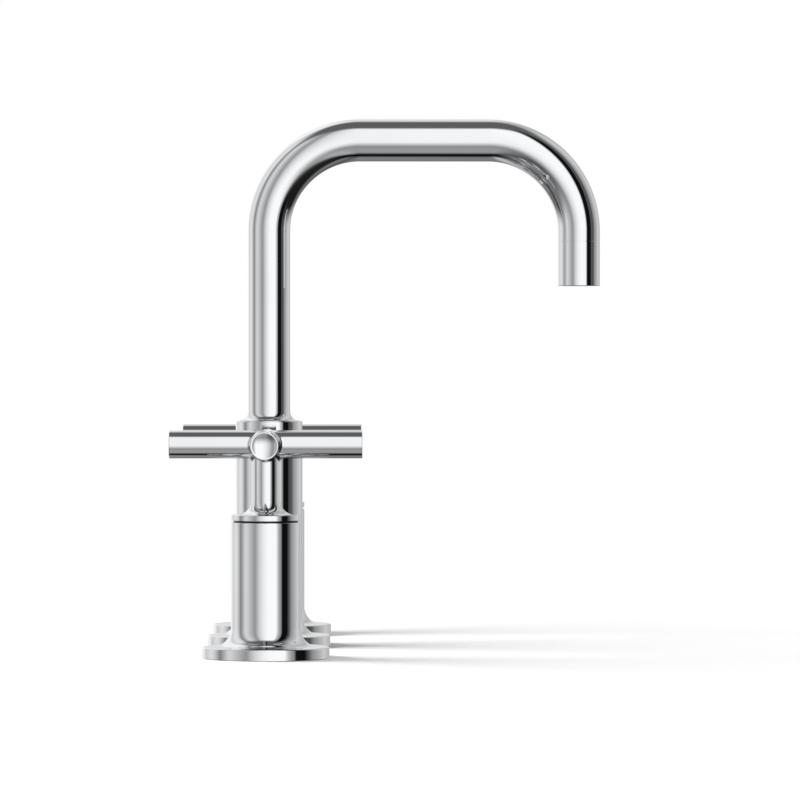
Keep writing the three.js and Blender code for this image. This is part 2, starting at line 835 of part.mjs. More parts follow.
// One valve, closed. side is -1 for hot and 1 for cold, and the side outlet faces the spout.
function valve(name, side) {
  const unit = new THREE.Group();
  const body = piece(`${name}_valve_body`, valveBody(), brass);
  body.rotation.z = side > 0 ? Math.PI : 0;
  unit.add(
    piece(`${name}_escutcheon`, valveEscutcheon(), chrome),
    piece(`${name}_deck_gasket`, deckGasket(), rubber),
    piece(`${name}_upper_ring_nut`, upperRingNut(), brass),
    body,
    piece(`${name}_mounting_washer`, mountingWasher(bodyRadius), rubber),
    piece(`${name}_mounting_nut`, mountingNut(bodyRadius), brass),
    piece(`${name}_seat_seal`, seatSeal(), rubber),
    piece(`${name}_cartridge_housing`, cartridgeHousing(), brass),
    piece(`${name}_fixed_disc`, portedDisc(fixedDiscBottom, 0), ceramic),
    piece(`${name}_moving_disc`, portedDisc(movingDiscBottom, Math.PI / 2), ceramic),
    piece(`${name}_spindle`, spindle(), brass),
    piece(`${name}_spindle_o_ring`, spindleORing(), rubber),
    piece(`${name}_gland_nut`, glandNut(), brass),
    piece(`${name}_glide_ring`, glideRing(), blackAcetal),
    piece(`${name}_handle_adapter`, handleAdapter(), brass),
    piece(`${name}_adapter_screw`, adapterScrew(), steel),
    piece(`${name}_cross_handle`, crossHandle(), chrome),
    piece(`${name}_set_screw`, setScrew(), steel),
  );
  unit.position.x = side * valveSpacing / 2;
  return unit;
}

function spout() {
  const unit = new THREE.Group();
  unit.add(
    piece('spout_escutcheon', spoutEscutcheon(), chrome),
    piece('spout_deck_gasket', deckGasket(), rubber),
    piece('spout_tube', spoutTube(), chrome),
    piece('spout_o_ring', collarORing(), rubber),
    piece('spout_shank', spoutShank(), brass),
    piece('spout_mounting_washer', mountingWasher(shankRadius), rubber),
    piece('spout_mounting_nut', mountingNut(shankRadius), brass),
    piece('tee_seal', teeSeal(), rubber),
    piece('spout_tee', spoutTee(), brass),
  );
  const outlet = new THREE.Group();
  outlet.add(
    piece('aerator_sleeve', aeratorSleeve(), chrome),
    piece('aerator_washer', aeratorWasherRing(), rubber),
    piece('flow_regulator', flowRegulator(), whiteAcetal),
    piece('aerator_insert', aeratorInsert(), whiteAcetal),
    piece('aerator_screen', aeratorScreen(), steel),
  );
  outlet.position.y = -reach;
  unit.add(outlet);
  return unit;
}

const faucet = new THREE.Group();
faucet.add(valve('hot', -1), spout(), valve('cold', 1));

export default faucet;
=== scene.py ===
"""Finished surfaces, studio and camera of a widespread bathroom faucet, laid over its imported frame.

Sizes are written in millimetres and turned into metres where a mesh is made. +Z is up, the origin
is on the deck at the spout's centre, the spout points to -Y, the hot valve stands at -X and the cold
valve at +X.
"""

import logging
import math
from collections.abc import Callable, Sequence
from dataclasses import dataclass, field
from enum import Enum

import bmesh
import bpy
from mathutils import Matrix, Quaternion, Vector


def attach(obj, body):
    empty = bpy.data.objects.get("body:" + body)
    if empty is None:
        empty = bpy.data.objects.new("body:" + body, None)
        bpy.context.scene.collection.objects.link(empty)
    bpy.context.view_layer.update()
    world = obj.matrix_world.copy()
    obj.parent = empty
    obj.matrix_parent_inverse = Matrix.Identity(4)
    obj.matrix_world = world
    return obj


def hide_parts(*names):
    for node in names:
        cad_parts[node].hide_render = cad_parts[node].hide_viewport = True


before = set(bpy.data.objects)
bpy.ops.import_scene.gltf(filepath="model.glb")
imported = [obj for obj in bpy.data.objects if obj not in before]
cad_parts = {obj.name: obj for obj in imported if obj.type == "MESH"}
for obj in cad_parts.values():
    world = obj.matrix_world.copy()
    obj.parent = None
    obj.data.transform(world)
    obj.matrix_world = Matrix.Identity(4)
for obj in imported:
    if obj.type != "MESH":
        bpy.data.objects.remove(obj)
log = logging.getLogger("faucet")

MM = 0.001
SUPPORT = 0.15  # how far a supporting ring lies from the end of a straight run
STRAIGHT = 1.2  # a run longer than this is straight and gets supporting rings
SHARP = math.radians(32)  # an edge sharper than this keeps its crease
WELD = 0.002 * MM  # points nearer than this are joined
TINY = 1e-6  # a length or an angle below this counts as nothing
SIDES = 96  # round a turned piece, and a multiple of eight, so that the handle's mitres meet
SEAM_EDGE = 0.06  # rounding on both sides of the outlet's seam
PATCHES = (0.3, 0.7)  # values of a noise at which a finish is darkest and lightest
CARD_GLOW = 1.115  # brightness of the cards, which makes up for the share that chrome takes away
UPRIGHT = Matrix.Identity(4)

Pair = tuple[float, float]
Triple = tuple[float, float, float]
Reach = tuple[float, float, float, float]  # where something starts, is full, is last full and ends
Colour = tuple[float, float, float, float]
Socket = bpy.types.NodeSocket
Tree = bpy.types.NodeTree


class Body(str, Enum):
    """The bodies of the frame."""

    FIXED = "fixed_units"
    HOT = "hot_handle"
    COLD = "cold_handle"


class Slot(str, Enum):
    """The record's material slots."""

    CHROME = "polished_chrome"
    BRASS = "brass"
    STEEL = "stainless_steel"
    RUBBER = "black_rubber"
    CERAMIC = "ceramic"
    WHITE_ACETAL = "white_acetal"
    BLACK_ACETAL_GAP_SHADE = "black_acetal"


class Ray(str, Enum):
    """Kinds of ray that a stage piece may be hidden from."""

    CAMERA = "visible_camera"
    DIFFUSE = "visible_diffuse"
    GLOSSY = "visible_glossy"
    SHADOW = "visible_shadow"


class Pattern(str, Enum):
    """Textures that draw what a surface's making left on it."""

    CLOUDS = "TexNoise"
    RINGS = "TexWave"
    CELLS = "TexVoronoi"


# Colours and nodes


def linear(colour: str) -> Colour:
    """Turns an sRGB colour into the linear one that a shader works in.

    Args:
        colour: the colour as "#rrggbb".

    Returns:
        Linear red, green, blue and an alpha of 1.
    """
    shares = [int(colour[place:place + 2], 16) / 255 for place in (1, 3, 5)]
    red, green, blue = [s / 12.92 if s <= 0.04045 else ((s + 0.055) / 1.055) ** 2.4 for s in shares]
    return red, green, blue, 1.0


def cloth(level: int) -> Colour:
    """Linear colour of grey cloth, from its sRGB level between 0 and 255."""
    return linear("#" + f"{level:02x}" * 3)


def add_node(
    tree: Tree, kind: str, inputs: dict[str | int, object] | None = None, output: str | int = 0,
    stops: Sequence[tuple[float, Colour]] = (), **settings: object,
) -> Socket:
    """Adds a node with its settings, its values and its links.

    Args:
        tree: the tree that the node joins.
        kind: the node's type, without the leading word ShaderNode.
        inputs: a value, or the output socket to link, for each input by name or place.
        output: the output that is wanted, by name or place.
        stops: places from 0 to 1 and linear colours along a colour ramp, in rising order.
        settings: attributes of the node itself.

    Returns:
        The output's socket.
    """
    node = tree.nodes.new(f"ShaderNode{kind}")
    for name, value in settings.items():
        setattr(node, name, value)
    for name, value in (inputs or {}).items():
        if isinstance(value, Socket):
            tree.links.new(value, node.inputs[name])
        else:
            node.inputs[name].default_value = value
    if stops:
        elements = node.color_ramp.elements
        elements.remove(elements[-1])
        elements[0].position, elements[0].color = stops[0]
        for place, colour in stops[1:]:
            elements.new(place).color = colour
    return node.outputs[output]


def show(tree: Tree, surface: Socket) -> None:
    """Links a shader to the material's surface."""
    tree.links.new(surface, tree.nodes["Material Output"].inputs["Surface"])


# Finishes


@dataclass(frozen=True)
class Marks:
    """What a surface's making left on it, drawn as bump."""

    size: float  # mm from mark to mark
    depth: float  # mm
    strength: float  # share of the bump that is used
    pattern: Pattern = Pattern.CLOUDS
    detail: float = 1.0
    warp: float = 0.0

    def height(self, tree: Tree, place: Socket) -> Socket:
        """Height of the marks at a place.

        Args:
            tree: the nodes that it joins.
            place: the object's own coordinates in metres.

        Returns:
            The height.
        """
        inputs = {"Vector": place, "Scale": 1 / (self.size * MM), "Detail": self.detail}
        if self.warp:
            inputs["Distortion"] = self.warp
        if self.pattern is Pattern.RINGS:
            # This texture draws one band in every pi / 10 of its own units.
            inputs["Scale"] = math.pi / (10 * self.size * MM)
            return add_node(tree, "TexWave", inputs, "Fac", wave_type="BANDS", bands_direction="Z")
        return add_node(tree, self.pattern.value, inputs)


@dataclass(frozen=True)
class Finish:
    """What a surface is made of and how it was worked: its tones, its gloss and its marks."""

    name: str
    slot: Slot
    light: str
    dark: str
    gloss: Pair  # roughness where it is smoothest and where it is roughest
    patch: float  # size in mm of the patches in which tone and gloss vary
    marks: Marks
    metallic: float = 1.0

    def material(self) -> bpy.types.Material:
        """The finish as a material, made once.

        Returns:
            The material of this finish's name.
        """
        made = bpy.data.materials.get(self.name)
        if made is not None:
            return made
        made = bpy.data.materials.new(self.name)
        made.use_nodes = True
        tree = made.node_tree
        shader = tree.nodes["Principled BSDF"]
        shader.inputs["Metallic"].default_value = self.metallic
        place = add_node(tree, "TexCoord", output="Object")
        patches = add_node(tree, "TexNoise", {
            "Vector": place, "Scale": 1 / (self.patch * MM), "Detail": 4.0, "Roughness": 0.55})
        low, high = PATCHES
        smoothest, roughest = self.gloss
        looks = {
            "Base Color": add_node(tree, "ValToRGB", {"Fac": patches}, stops=(
                (low, linear(self.dark)), (high, linear(self.light)))),
            "Roughness": add_node(tree, "MapRange", {
                "Value": patches, "From Min": low, "From Max": high,
                "To Min": smoothest, "To Max": roughest}),
            "Normal": add_node(tree, "Bump", {
                "Height": self.marks.height(tree, place), "Strength": self.marks.strength,
                "Distance": self.marks.depth * MM}),
        }
        for name, look in looks.items():
            tree.links.new(look, shader.inputs[name])
        return made


# Bright chromium over nickel on buffed brass. The eye gets clean reflections of the cards, a faint
# softness where a cloth has wiped, and the barest waviness that buffing leaves.
CHROME = Finish("bright_chrome_plate", Slot.CHROME, "#f4f5f7", "#eff0f2", gloss=(0.02, 0.05), patch=38.0,
                marks=Marks(7.0, depth=0.02, strength=0.05))

# Free-cutting brass turned in a lathe: warm, with a dull bloom of handling and fine rings, drawn
# coarser than the real 0.1 mm so that they show.
BRASS = Finish("turned_brass", Slot.BRASS, "#d8b56e", "#bd9750", gloss=(0.2, 0.36), patch=16.0,
               marks=Marks(0.4, depth=0.02, strength=0.35, pattern=Pattern.RINGS, warp=0.4))

# Brass forged in a die and shot-blasted: a fine dull grain without tool marks.
FORGING = Finish("forged_brass", Slot.BRASS, "#cdaa66", "#ad8a4b", gloss=(0.38, 0.52), patch=9.0,
                 marks=Marks(0.5, depth=0.08, strength=0.5, detail=3.0))

# Drawn stainless wire and turned screws: cool grey, fairly bright, with a fine grain of tool marks.
STEEL = Finish("drawn_stainless_steel", Slot.STEEL, "#c8cbce", "#aaaeb2", gloss=(0.18, 0.3), patch=4.0,
               marks=Marks(0.2, depth=0.01, strength=0.25, detail=2.0))

# Moulded EPDM rubber: near black, matt, with the bloom and fine skin of the mould.
RUBBER = Finish("moulded_epdm_rubber", Slot.RUBBER, "#26272a", "#151618", gloss=(0.55, 0.8), patch=6.0,
                marks=Marks(0.35, depth=0.04, strength=0.4, detail=3.0), metallic=0.0)

# Alumina lapped flat: ivory white, almost glossy, with grains that catch the light. They are drawn
# coarser than real so that they show.
CERAMIC = Finish("lapped_alumina_ceramic", Slot.CERAMIC, "#f6f2ea", "#e9e3d7", gloss=(0.1, 0.22),
                 patch=3.0, metallic=0.0,
                 marks=Marks(0.25, depth=0.01, strength=0.1, pattern=Pattern.CELLS, detail=0.0))

# Injection-moulded acetal, white and black: waxy and satin, with a faint flow pattern.
FLOW = Marks(1.5, depth=0.02, strength=0.15, warp=0.8)
WHITE_ACETAL = Finish("moulded_white_acetal", Slot.WHITE_ACETAL, "#eceded", "#e0e1df",
                      gloss=(0.3, 0.45), patch=5.0, marks=FLOW, metallic=0.0)
# The black acetal is also painted shade: the glide ring is black so that the gap under the handle's cap
# looks as dark as its shadow.
BLACK_ACETAL_GAP_SHADE = Finish("moulded_black_acetal_gap_shade", Slot.BLACK_ACETAL_GAP_SHADE, "#1a1b1d", "#0f1011",
                      gloss=(0.3, 0.45), patch=5.0, marks=FLOW, metallic=0.0)


# Meshes


@dataclass
class Shell:
    """Points and faces of one piece, gathered ring by ring, in millimetres."""

    points: list[Vector] = field(default_factory=list)
    faces: list[tuple[int, ...]] = field(default_factory=list)

    def add_rings(self, rings: Sequence[Sequence[Vector]], closed: bool = False) -> "Shell":
        """Joins neighbouring rings of points with faces.

        Args:
            rings: rings of one length, or of a single point where the surface ends on its axis.
            closed: whether the last ring joins the first.

        Returns:
            The shell itself.
        """
        places = []
        for points in rings:
            places.append(range(len(self.points), len(self.points) + len(points)))
            self.points.extend(points)
        for low, high in zip(places, places[1:] + (places[:1] if closed else [])):
            count = max(len(low), len(high))
            for side in range(count):
                turn = (side + 1) % count
                corners = [low[side % len(low)], low[turn % len(low)],
                           high[turn % len(high)], high[side % len(high)]]
                self.faces.append(tuple(dict.fromkeys(corners)))
        return self

    def add(self, other: "Shell", place: Matrix | None = None) -> "Shell":
        """Takes in another shell.

        Args:
            other: the shell to take in, which keeps its own points.
            place: where it goes.

        Returns:
            The shell itself.
        """
        start = len(self.points)
        self.points.extend([place @ point for point in other.points] if place else other.points)
        self.faces.extend(tuple(start + corner for corner in face) for face in other.faces)
        return self

    def piece(self, name: str, welded: bool = True) -> bpy.types.Object:
        """The shell as an object of the scene, in metres and shaded smooth.

        Args:
            name: the object's name.
            welded: whether its seams are joined, its faces turned outwards and its creases kept.

        Returns:
            The object.
        """
        mesh = bpy.data.meshes.new(name)
        mesh.from_pydata([tuple(point * MM) for point in self.points], [], self.faces)
        if welded:
            grid = bmesh.new()
            grid.from_mesh(mesh)
            bmesh.ops.remove_doubles(grid, verts=grid.verts, dist=WELD)
            bmesh.ops.recalc_face_normals(grid, faces=grid.faces)
            grid.to_mesh(mesh)
            grid.free()
        mesh.shade_smooth()
        if welded:
            mesh.set_sharp_from_angle(angle=SHARP)
        made = bpy.data.objects.new(name, mesh)
        bpy.context.scene.collection.objects.link(made)
        return made


@dataclass
class Outline:
    """Outline of a turned piece, as [radius, height] points in millimetres."""

    points: list[Pair] = field(default_factory=list)

    def line(self, *stops: Pair) -> "Outline":
        """Runs straight from stop to stop."""
        self.points.extend(stops)
        return self

    def arc(self, centre: Pair, radius: float, start: float, end: float, steps: int) -> "Outline":
        """Runs along a round stretch.

        Args:
            centre: the arc's centre.
            radius: its radius.
            start: angle in degrees from the outline's radius axis.
            end: angle where it ends.
            steps: how many steps it has.

        Returns:
            The outline itself.
        """
        for step in range(steps + 1):
            angle = math.radians(start + (end - start) * step / steps)
            self.points.append((centre[0] + radius * math.cos(angle), centre[1] + radius * math.sin(angle)))
        return self

    def supported(self, closed: bool, extra: Sequence[float] = ()) -> list[Pair]:
        """The outline with supporting points that keep long straight runs flat to their ends.

        Args:
            closed: whether the last point joins the first.
            extra: heights that get a point wherever an upright run passes them.

        Returns:
            The points.
        """
        stops = self.points + (self.points[:1] if closed else [])
        result = []
        for first, last in zip(stops, stops[1:]):
            result.append(first)
            length = math.dist(first, last)
            if length > STRAIGHT:
                shares = [SUPPORT / length, 1 - SUPPORT / length]
                rise = last[1] - first[1]
                if abs(rise) == length:
                    shares += [(z - first[1]) / rise for z in extra]
                shares = sorted(share for share in shares if 0 < share < 1)
                result += [(first[0] + (last[0] - first[0]) * s, first[1] + (last[1] - first[1]) * s)
                           for s in shares]
        return result if closed else result + stops[-1:]


@dataclass(frozen=True)
class Thread:
    """Thread cut along an upright stretch of a turned piece."""

    radius: float
    bottom: float
    top: float
    pitch: float = 1.814  # 14 threads to the inch
    depth: float = 1.0
    rows: int = 10  # for each turn
    runout: float = 1.5
    steepness: float = 1.25
    crest: float = 0.12

    def heights(self) -> list[float]:
        """Heights of the rows that follow the thread."""
        count = round((self.top - self.bottom) / self.pitch * self.rows)
        return [self.bottom + (self.top - self.bottom) * row / count for row in range(count + 1)]

    def cut(self, radius: float, height: float, turn: float) -> float:
        """How deep the thread lies at a place.

        Args:
            radius: the outline's radius there.
            height: the height.
            turn: share of a full turn round the axis.

        Returns:
            The depth below the outline, nothing away from the threaded stretch.
        """
        if abs(radius - self.radius) > TINY or not self.bottom < height < self.top:
            return 0.0
        ends = min(height - self.bottom, self.top - height) / self.runout
        phase = (height / self.pitch - turn) % 1
        flank = min(1.0, max(0.0, self.steepness * abs(2 * phase - 1) - self.crest))
        return self.depth * flank * min(1.0, ends)


def around(sides: int) -> list[Pair]:
    """Cosines and sines of equal steps round a full turn."""
    return [(math.cos(math.tau * side / sides), math.sin(math.tau * side / sides))
            for side in range(sides)]


def turned(outline: Outline, thread: Thread | None = None, sides: int = SIDES) -> Shell:
    """Turns an outline round Z.

    Args:
        outline: starts and ends on the axis, or closes on itself.
        thread: the thread cut on it, if any.
        sides: how many sides the piece has.

    Returns:
        The turned shell.
    """
    closed = outline.points[0][0] > 0
    rings = []
    for radius, height in outline.supported(closed, thread.heights() if thread else ()):
        if radius < TINY:
            rings.append([Vector((0, 0, height))])
            continue
        spots = []
        for side, (x, y) in enumerate(around(sides)):
            here = radius - (thread.cut(radius, height, side / sides) if thread else 0)
            spots.append(Vector((here * x, here * y, height)))
        rings.append(spots)
    return Shell().add_rings(rings, closed)


def ring(outer: float, inner: float, bottom: float, top: float, edge: float) -> Shell:
    """Flat ring with rounded edges.

    Args:
        outer: outer radius.
        inner: bore's radius.
        bottom: lower face.
        top: upper face.
        edge: radius of the rounding.

    Returns:
        The shell.
    """
    line = Outline()
    for radius, height, start in ((outer - edge, bottom + edge, -90), (outer - edge, top - edge, 0),
                                  (inner + edge, top - edge, 90), (inner + edge, bottom + edge, 180)):
        line.arc((radius, height), edge, start, start + 90, 4)
    return turned(line)


def polar(
    rows: Sequence[Callable[[float], Pair]], angles: Sequence[float], closed: bool = True,
) -> Shell:
    """Shell whose rows give a radius and a height for each direction.

    Args:
        rows: one function of the direction in radians for each row, round the section.
        angles: the directions.
        closed: whether the last row joins the first.

    Returns:
        The shell.
    """
    rings = []
    for row in rows:
        spots = [(angle, *row(angle)) for angle in angles]
        rings.append([Vector((r * math.cos(a), r * math.sin(a), z)) for a, r, z in spots])
    return Shell().add_rings(rings, closed)


def hexagon(flats: float, angle: float) -> float:
    """Radius of a hexagon in a direction, from half the distance across its flats."""
    return flats / math.cos((angle + math.pi / 6) % (math.pi / 3) - math.pi / 6)


def laid(height: float, turns: int, axis: str) -> Matrix:
    """Place that lays down what stands on the axis: its height, and quarter turns round X or Y."""
    return Matrix.Translation((0, 0, height)) @ Matrix.Rotation(turns * math.pi / 2, 4, axis)


def fit_piece(piece: bpy.types.Object, finish: Finish, body: Body, node: str) -> None:
    """Gives a finished piece its material and its body, and hides the node that it stands for.

    Args:
        piece: the finished piece, where it belongs.
        finish: its finish.
        body: the body that it moves with.
        node: the node of the frame that it replaces.
    """
    piece.data.materials.append(finish.material())
    # The studio has no deck that would keep what is under it out of the chrome's reflections.
    piece.visible_glossy = min(point.co.z for point in piece.data.vertices) > -MM
    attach(piece, body.value)
    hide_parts(node)
    log.info("%s: %s on %s", piece.name, finish.name, body.value)


def dress(node: str, finish: Finish) -> None:
    """Gives a node of the frame its finish and leaves its shape as it is.

    Args:
        node: the node's name.
        finish: its finish.
    """
    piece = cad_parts[node]
    if piece.material_slots:
        piece.material_slots[0].material = finish.material()
    else:
        piece.data.materials.append(finish.material())
    log.info("%s: %s", node, finish.name)


# Sub-assemblies


@dataclass(frozen=True)
class Part:
    """Part of one of the three units. Its shells are made on the unit's own axis."""

    unit: str = "spout"  # starts the names of the unit's nodes
    x: float = 0.0
    y: float = 0.0
    body: Body = Body.FIXED

    def place(self) -> Matrix:
        """Where the part's axis stands."""
        return Matrix.Translation((self.x, self.y, 0))

    def fit(self, shell: Shell, name: str, node: str, finish: Finish, lie: Matrix = UPRIGHT) -> None:
        """Makes a piece and puts it in place of its node.

        Args:
            shell: its shape.
            name: its name.
            node: the node that it replaces.
            finish: its finish.
            lie: how it lies on the unit's axis.
        """
        made = Shell().add(shell, self.place() @ lie).piece(name)
        fit_piece(made, finish, self.body, node)

    def build(self) -> None:
        """Makes the part's pieces and puts them in place of their nodes, in each part's own way."""
        raise NotImplementedError


@dataclass(frozen=True)
class Escutcheon(Part):
    """Flange and column in one turned shell, with the groove and recess under the flange."""

    height: float = 101.3
    foot_bore: float = 10.8
    foot_height: float = 17.5
    counterbore: float = 0.0  # radius of the seat for the glide ring, nothing on the spout
    seat: float = 0.0  # height of that seat
    column: float = 15.1
    bore: float = 13.1
    fillet: float = 8.0
    flange: float = 27.6
    thickness: float = 5.0
    edge: float = 0.6
    lower_edge: float = 0.25
    rim: float = 0.3
    mouth: float = 0.2
    groove: float = 24.5
    groove_top: float = 1.8
    recess: float = 18.6
    recess_top: float = 4.5
    sides: int = 160

    def outline(self) -> Outline:
        """The whole section, from the deck up the outside and down the inside.

        Returns:
            The closed outline.
        """
        line = Outline()
        line.arc((self.flange - self.lower_edge, self.lower_edge), self.lower_edge, -90, 0, 4)
        line.arc((self.flange - self.edge, self.thickness - self.edge), self.edge, 0, 90, 8)
        line.arc((self.column + self.fillet, self.thickness + self.fillet), self.fillet, 270, 180, 32)
        line.arc((self.column - self.rim, self.height - self.rim), self.rim, 0, 90, 6)
        if self.counterbore:
            line.line((self.counterbore + self.mouth, self.height),
                      (self.counterbore, self.height - self.mouth),
                      (self.counterbore, self.seat), (self.bore, self.seat))
        else:
            line.line((self.bore, self.height))
        foot_top = self.recess_top + self.foot_height
        return line.line(
            (self.bore, foot_top), (self.foot_bore, foot_top), (self.foot_bore, self.recess_top),
            (self.recess, self.recess_top), (self.recess, self.groove_top),
            (self.groove, self.groove_top), (self.groove, 0))

    def build(self) -> None:
        """Makes the shell and puts it in place of its node."""
        shell = turned(self.outline(), sides=self.sides)
        self.fit(shell, f"{self.unit}_column", f"{self.unit}_escutcheon", CHROME)


@dataclass(frozen=True)
class CrossHandle(Part):
    """Cross handle: four bars and a stem that meet in rolled fillets, over a cap with a fillet."""

    bar: float = 6.05
    arm: float = 41.85
    junction: float = 2.0
    tip_rim: float = 0.6
    tip_edge: float = 0.3
    dish_depth: float = 1.3
    height: float = 92.55
    cap_bottom: float = 59.6
    cap_top: float = 62.1
    cap_radius: float = 15.1
    cap_fillet: float = 6.8
    cap_edge: float = 0.3
    lower_edge: float = 0.15
    hollow: float = 11.5
    hollow_top: float = 61.3
    stem_bore: float = 4.6
    bore_top: float = 77.3
    screw_hole: float = 1.8
    screw_height: float = 65.6
    screw_sides: int = 48
    corner_steps: int = 12

    def corner(self, y: float, z: float, stem_below: bool) -> list[Vector]:
        """Fillet that a ball rolled along the corner between crossing bars leaves on one bar.

        The bar lies along +X, with neighbours along Y and Z: an arm has arms on both sides and the
        stem below it along -Z, and the stem has arms on all four sides.

        Args:
            y: share of the bar's radius in Y, in the direction of this row.
            z: share of the bar's radius in Z.
            stem_below: true for an arm, which has the stem below it, and false for the stem.

        Returns:
            Points from the mitre with the neighbour to the bar itself.
        """
        sideways = abs(y)
        upright = -z if stem_below else abs(z)
        along = max(sideways, upright)
        centre = Vector((along, y, z)) * (self.bar + self.junction)
        to_bar = Vector((0, -y, -z))
        mitre = to_bar.copy()
        if sideways >= upright - TINY:
            mitre += Vector((-along, 0, -z))
        if upright >= sideways - TINY:
            mitre += Vector((-along, -y, 0))
        mitre.normalize()
        swing = mitre.angle(to_bar)
        hinge = mitre.cross(to_bar)
        rows = []
        for step in range(self.corner_steps + 1):
            turn = Quaternion(hinge, swing * step / self.corner_steps)
            spoke = turn @ mitre if swing > TINY else to_bar
            rows.append(centre + spoke * self.junction)
        return rows

    def arm_shell(self) -> Shell:
        """One arm along +X, from its mitres out to the rim and the dish of its tip.

        Returns:
            The open shell.
        """
        compass = around(SIDES)
        corners = [self.corner(y, z, True) for y, z in compass]
        rings = [[rows[step] for rows in corners] for step in range(self.corner_steps + 1)]
        edge = self.tip_edge
        tip = Outline().line((self.bar, self.bar + self.junction + SUPPORT),
                             (self.bar, self.arm - edge - SUPPORT))
        tip.arc((self.bar - edge, self.arm - edge), edge, 0, 90, 6)
        dish = self.bar - self.tip_rim
        sphere = (dish ** 2 + self.dish_depth ** 2) / (2 * self.dish_depth)
        swing = math.degrees(math.asin(dish / sphere))
        tip.arc((0, self.arm - self.dish_depth + sphere), sphere, swing - 90, -90, 16)
        rings += [[Vector((x, radius * y, radius * z)) for y, z in compass]
                  for radius, x in tip.points[:-1]]
        rings.append([Vector((tip.points[-1][1], 0, 0))])
        return Shell().add_rings(rings)

    def stem_shell(self) -> Shell:
        """The stem from its mitres down over the cap, then up inside to the blind bore.

        Returns:
            The open shell.
        """
        compass = around(SIDES)
        corners = [[Vector((p.z, p.y, -p.x)) for p in self.corner(y, x, False)] for x, y in compass]
        rings = [[rows[step] for rows in corners] for step in range(self.corner_steps + 1)]
        top = self.height - self.bar - self.junction
        edge, low = self.cap_edge, self.lower_edge
        line = Outline().line((self.bar, top - SUPPORT), (self.bar, top - SUPPORT * 2))
        line.arc((self.bar + self.cap_fillet, self.cap_top + self.cap_fillet), self.cap_fillet,
                 180, 270, 32)
        line.arc((self.cap_radius - edge, self.cap_top - edge), edge, 90, 0, 6)
        line.arc((self.cap_radius - low, self.cap_bottom + low), low, 0, -90, 4)
        line.line((self.hollow, self.cap_bottom), (self.hollow, self.hollow_top),
                  (self.stem_bore, self.hollow_top), (self.stem_bore, self.bore_top),
                  (0, self.bore_top + self.stem_bore / 2))
        for radius, z in line.supported(False):
            here = z - self.height
            rings.append([Vector((radius * x, radius * y, here)) for x, y in compass]
                         if radius > TINY else [Vector((0, 0, here))])
        return Shell().add_rings(rings)

    def build(self) -> None:
        """Makes the handle, drills the set screw's hole and puts it in place of its node."""
        whole = Shell()
        arm = self.arm_shell()
        lift = Matrix.Translation((0, 0, self.height))
        for turns in range(4):
            whole.add(arm, lift @ Matrix.Rotation(turns * math.pi / 2, 4, "Z"))
        whole.add(self.stem_shell(), lift)
        piece = Shell().add(whole, self.place()).piece(f"{self.unit}_handle_finished")
        near, far = self.stem_bore - 1, self.cap_radius
        hole = turned(Outline().line((0, near), (self.screw_hole, near), (self.screw_hole, far), (0, far)),
                      sides=self.screw_sides)
        drill = Shell().add(hole, self.place() @ laid(self.screw_height, -1, "X")).piece("drill")
        cut = piece.modifiers.new("set screw hole", "BOOLEAN")
        cut.operation, cut.solver, cut.object = "DIFFERENCE", "EXACT", drill
        graph = bpy.context.evaluated_depsgraph_get()
        drilled = bpy.data.meshes.new_from_object(piece.evaluated_get(graph))
        piece.modifiers.clear()
        piece.data = drilled
        drilled.materials.clear()
        bpy.data.objects.remove(drill)
        drilled.shade_smooth()
        drilled.set_sharp_from_angle(angle=SHARP)
        fit_piece(piece, CHROME, self.body, f"{self.unit}_cross_handle")


@dataclass(frozen=True)
class SetScrew(Part):
    """Cup-point set screw with a hexagon socket, in the back of the handle's stem."""

    radius: float = 1.5
    inner_end: float = 4.65
    outer_end: float = 6.3
    height: float = 65.6
    cup: float = 0.5
    chamfer: float = 0.2
    socket: float = 0.75  # half the distance across its flats
    socket_mouth: float = 0.1
    socket_depth: float = 1.0
    socket_point: float = 0.3
    middle: float = 0.01  # radius of the small flats on the axis
    sides: int = 48

    def build(self) -> None:
        """Makes the screw and puts it in place of its node."""
        radius, top, mouth = self.radius, self.outer_end, self.socket_mouth
        floor = top - self.socket_depth
        shell = polar([
            lambda a: (self.middle, self.inner_end + self.cup),
            lambda a: (radius - self.cup, self.inner_end),
            lambda a: (radius, self.inner_end + self.cup),
            lambda a: (radius, top - self.chamfer),
            lambda a: (radius - self.chamfer, top),
            lambda a: (hexagon(self.socket, a) + mouth, top),
            lambda a: (hexagon(self.socket, a), top - mouth),
            lambda a: (hexagon(self.socket, a), floor),
            lambda a: (self.middle, floor - self.socket_point),
        ], [math.tau * side / self.sides for side in range(self.sides)], closed=False)
        self.fit(shell, f"{self.unit}_grub", f"{self.unit}_set_screw", STEEL, laid(self.height, -1, "X"))


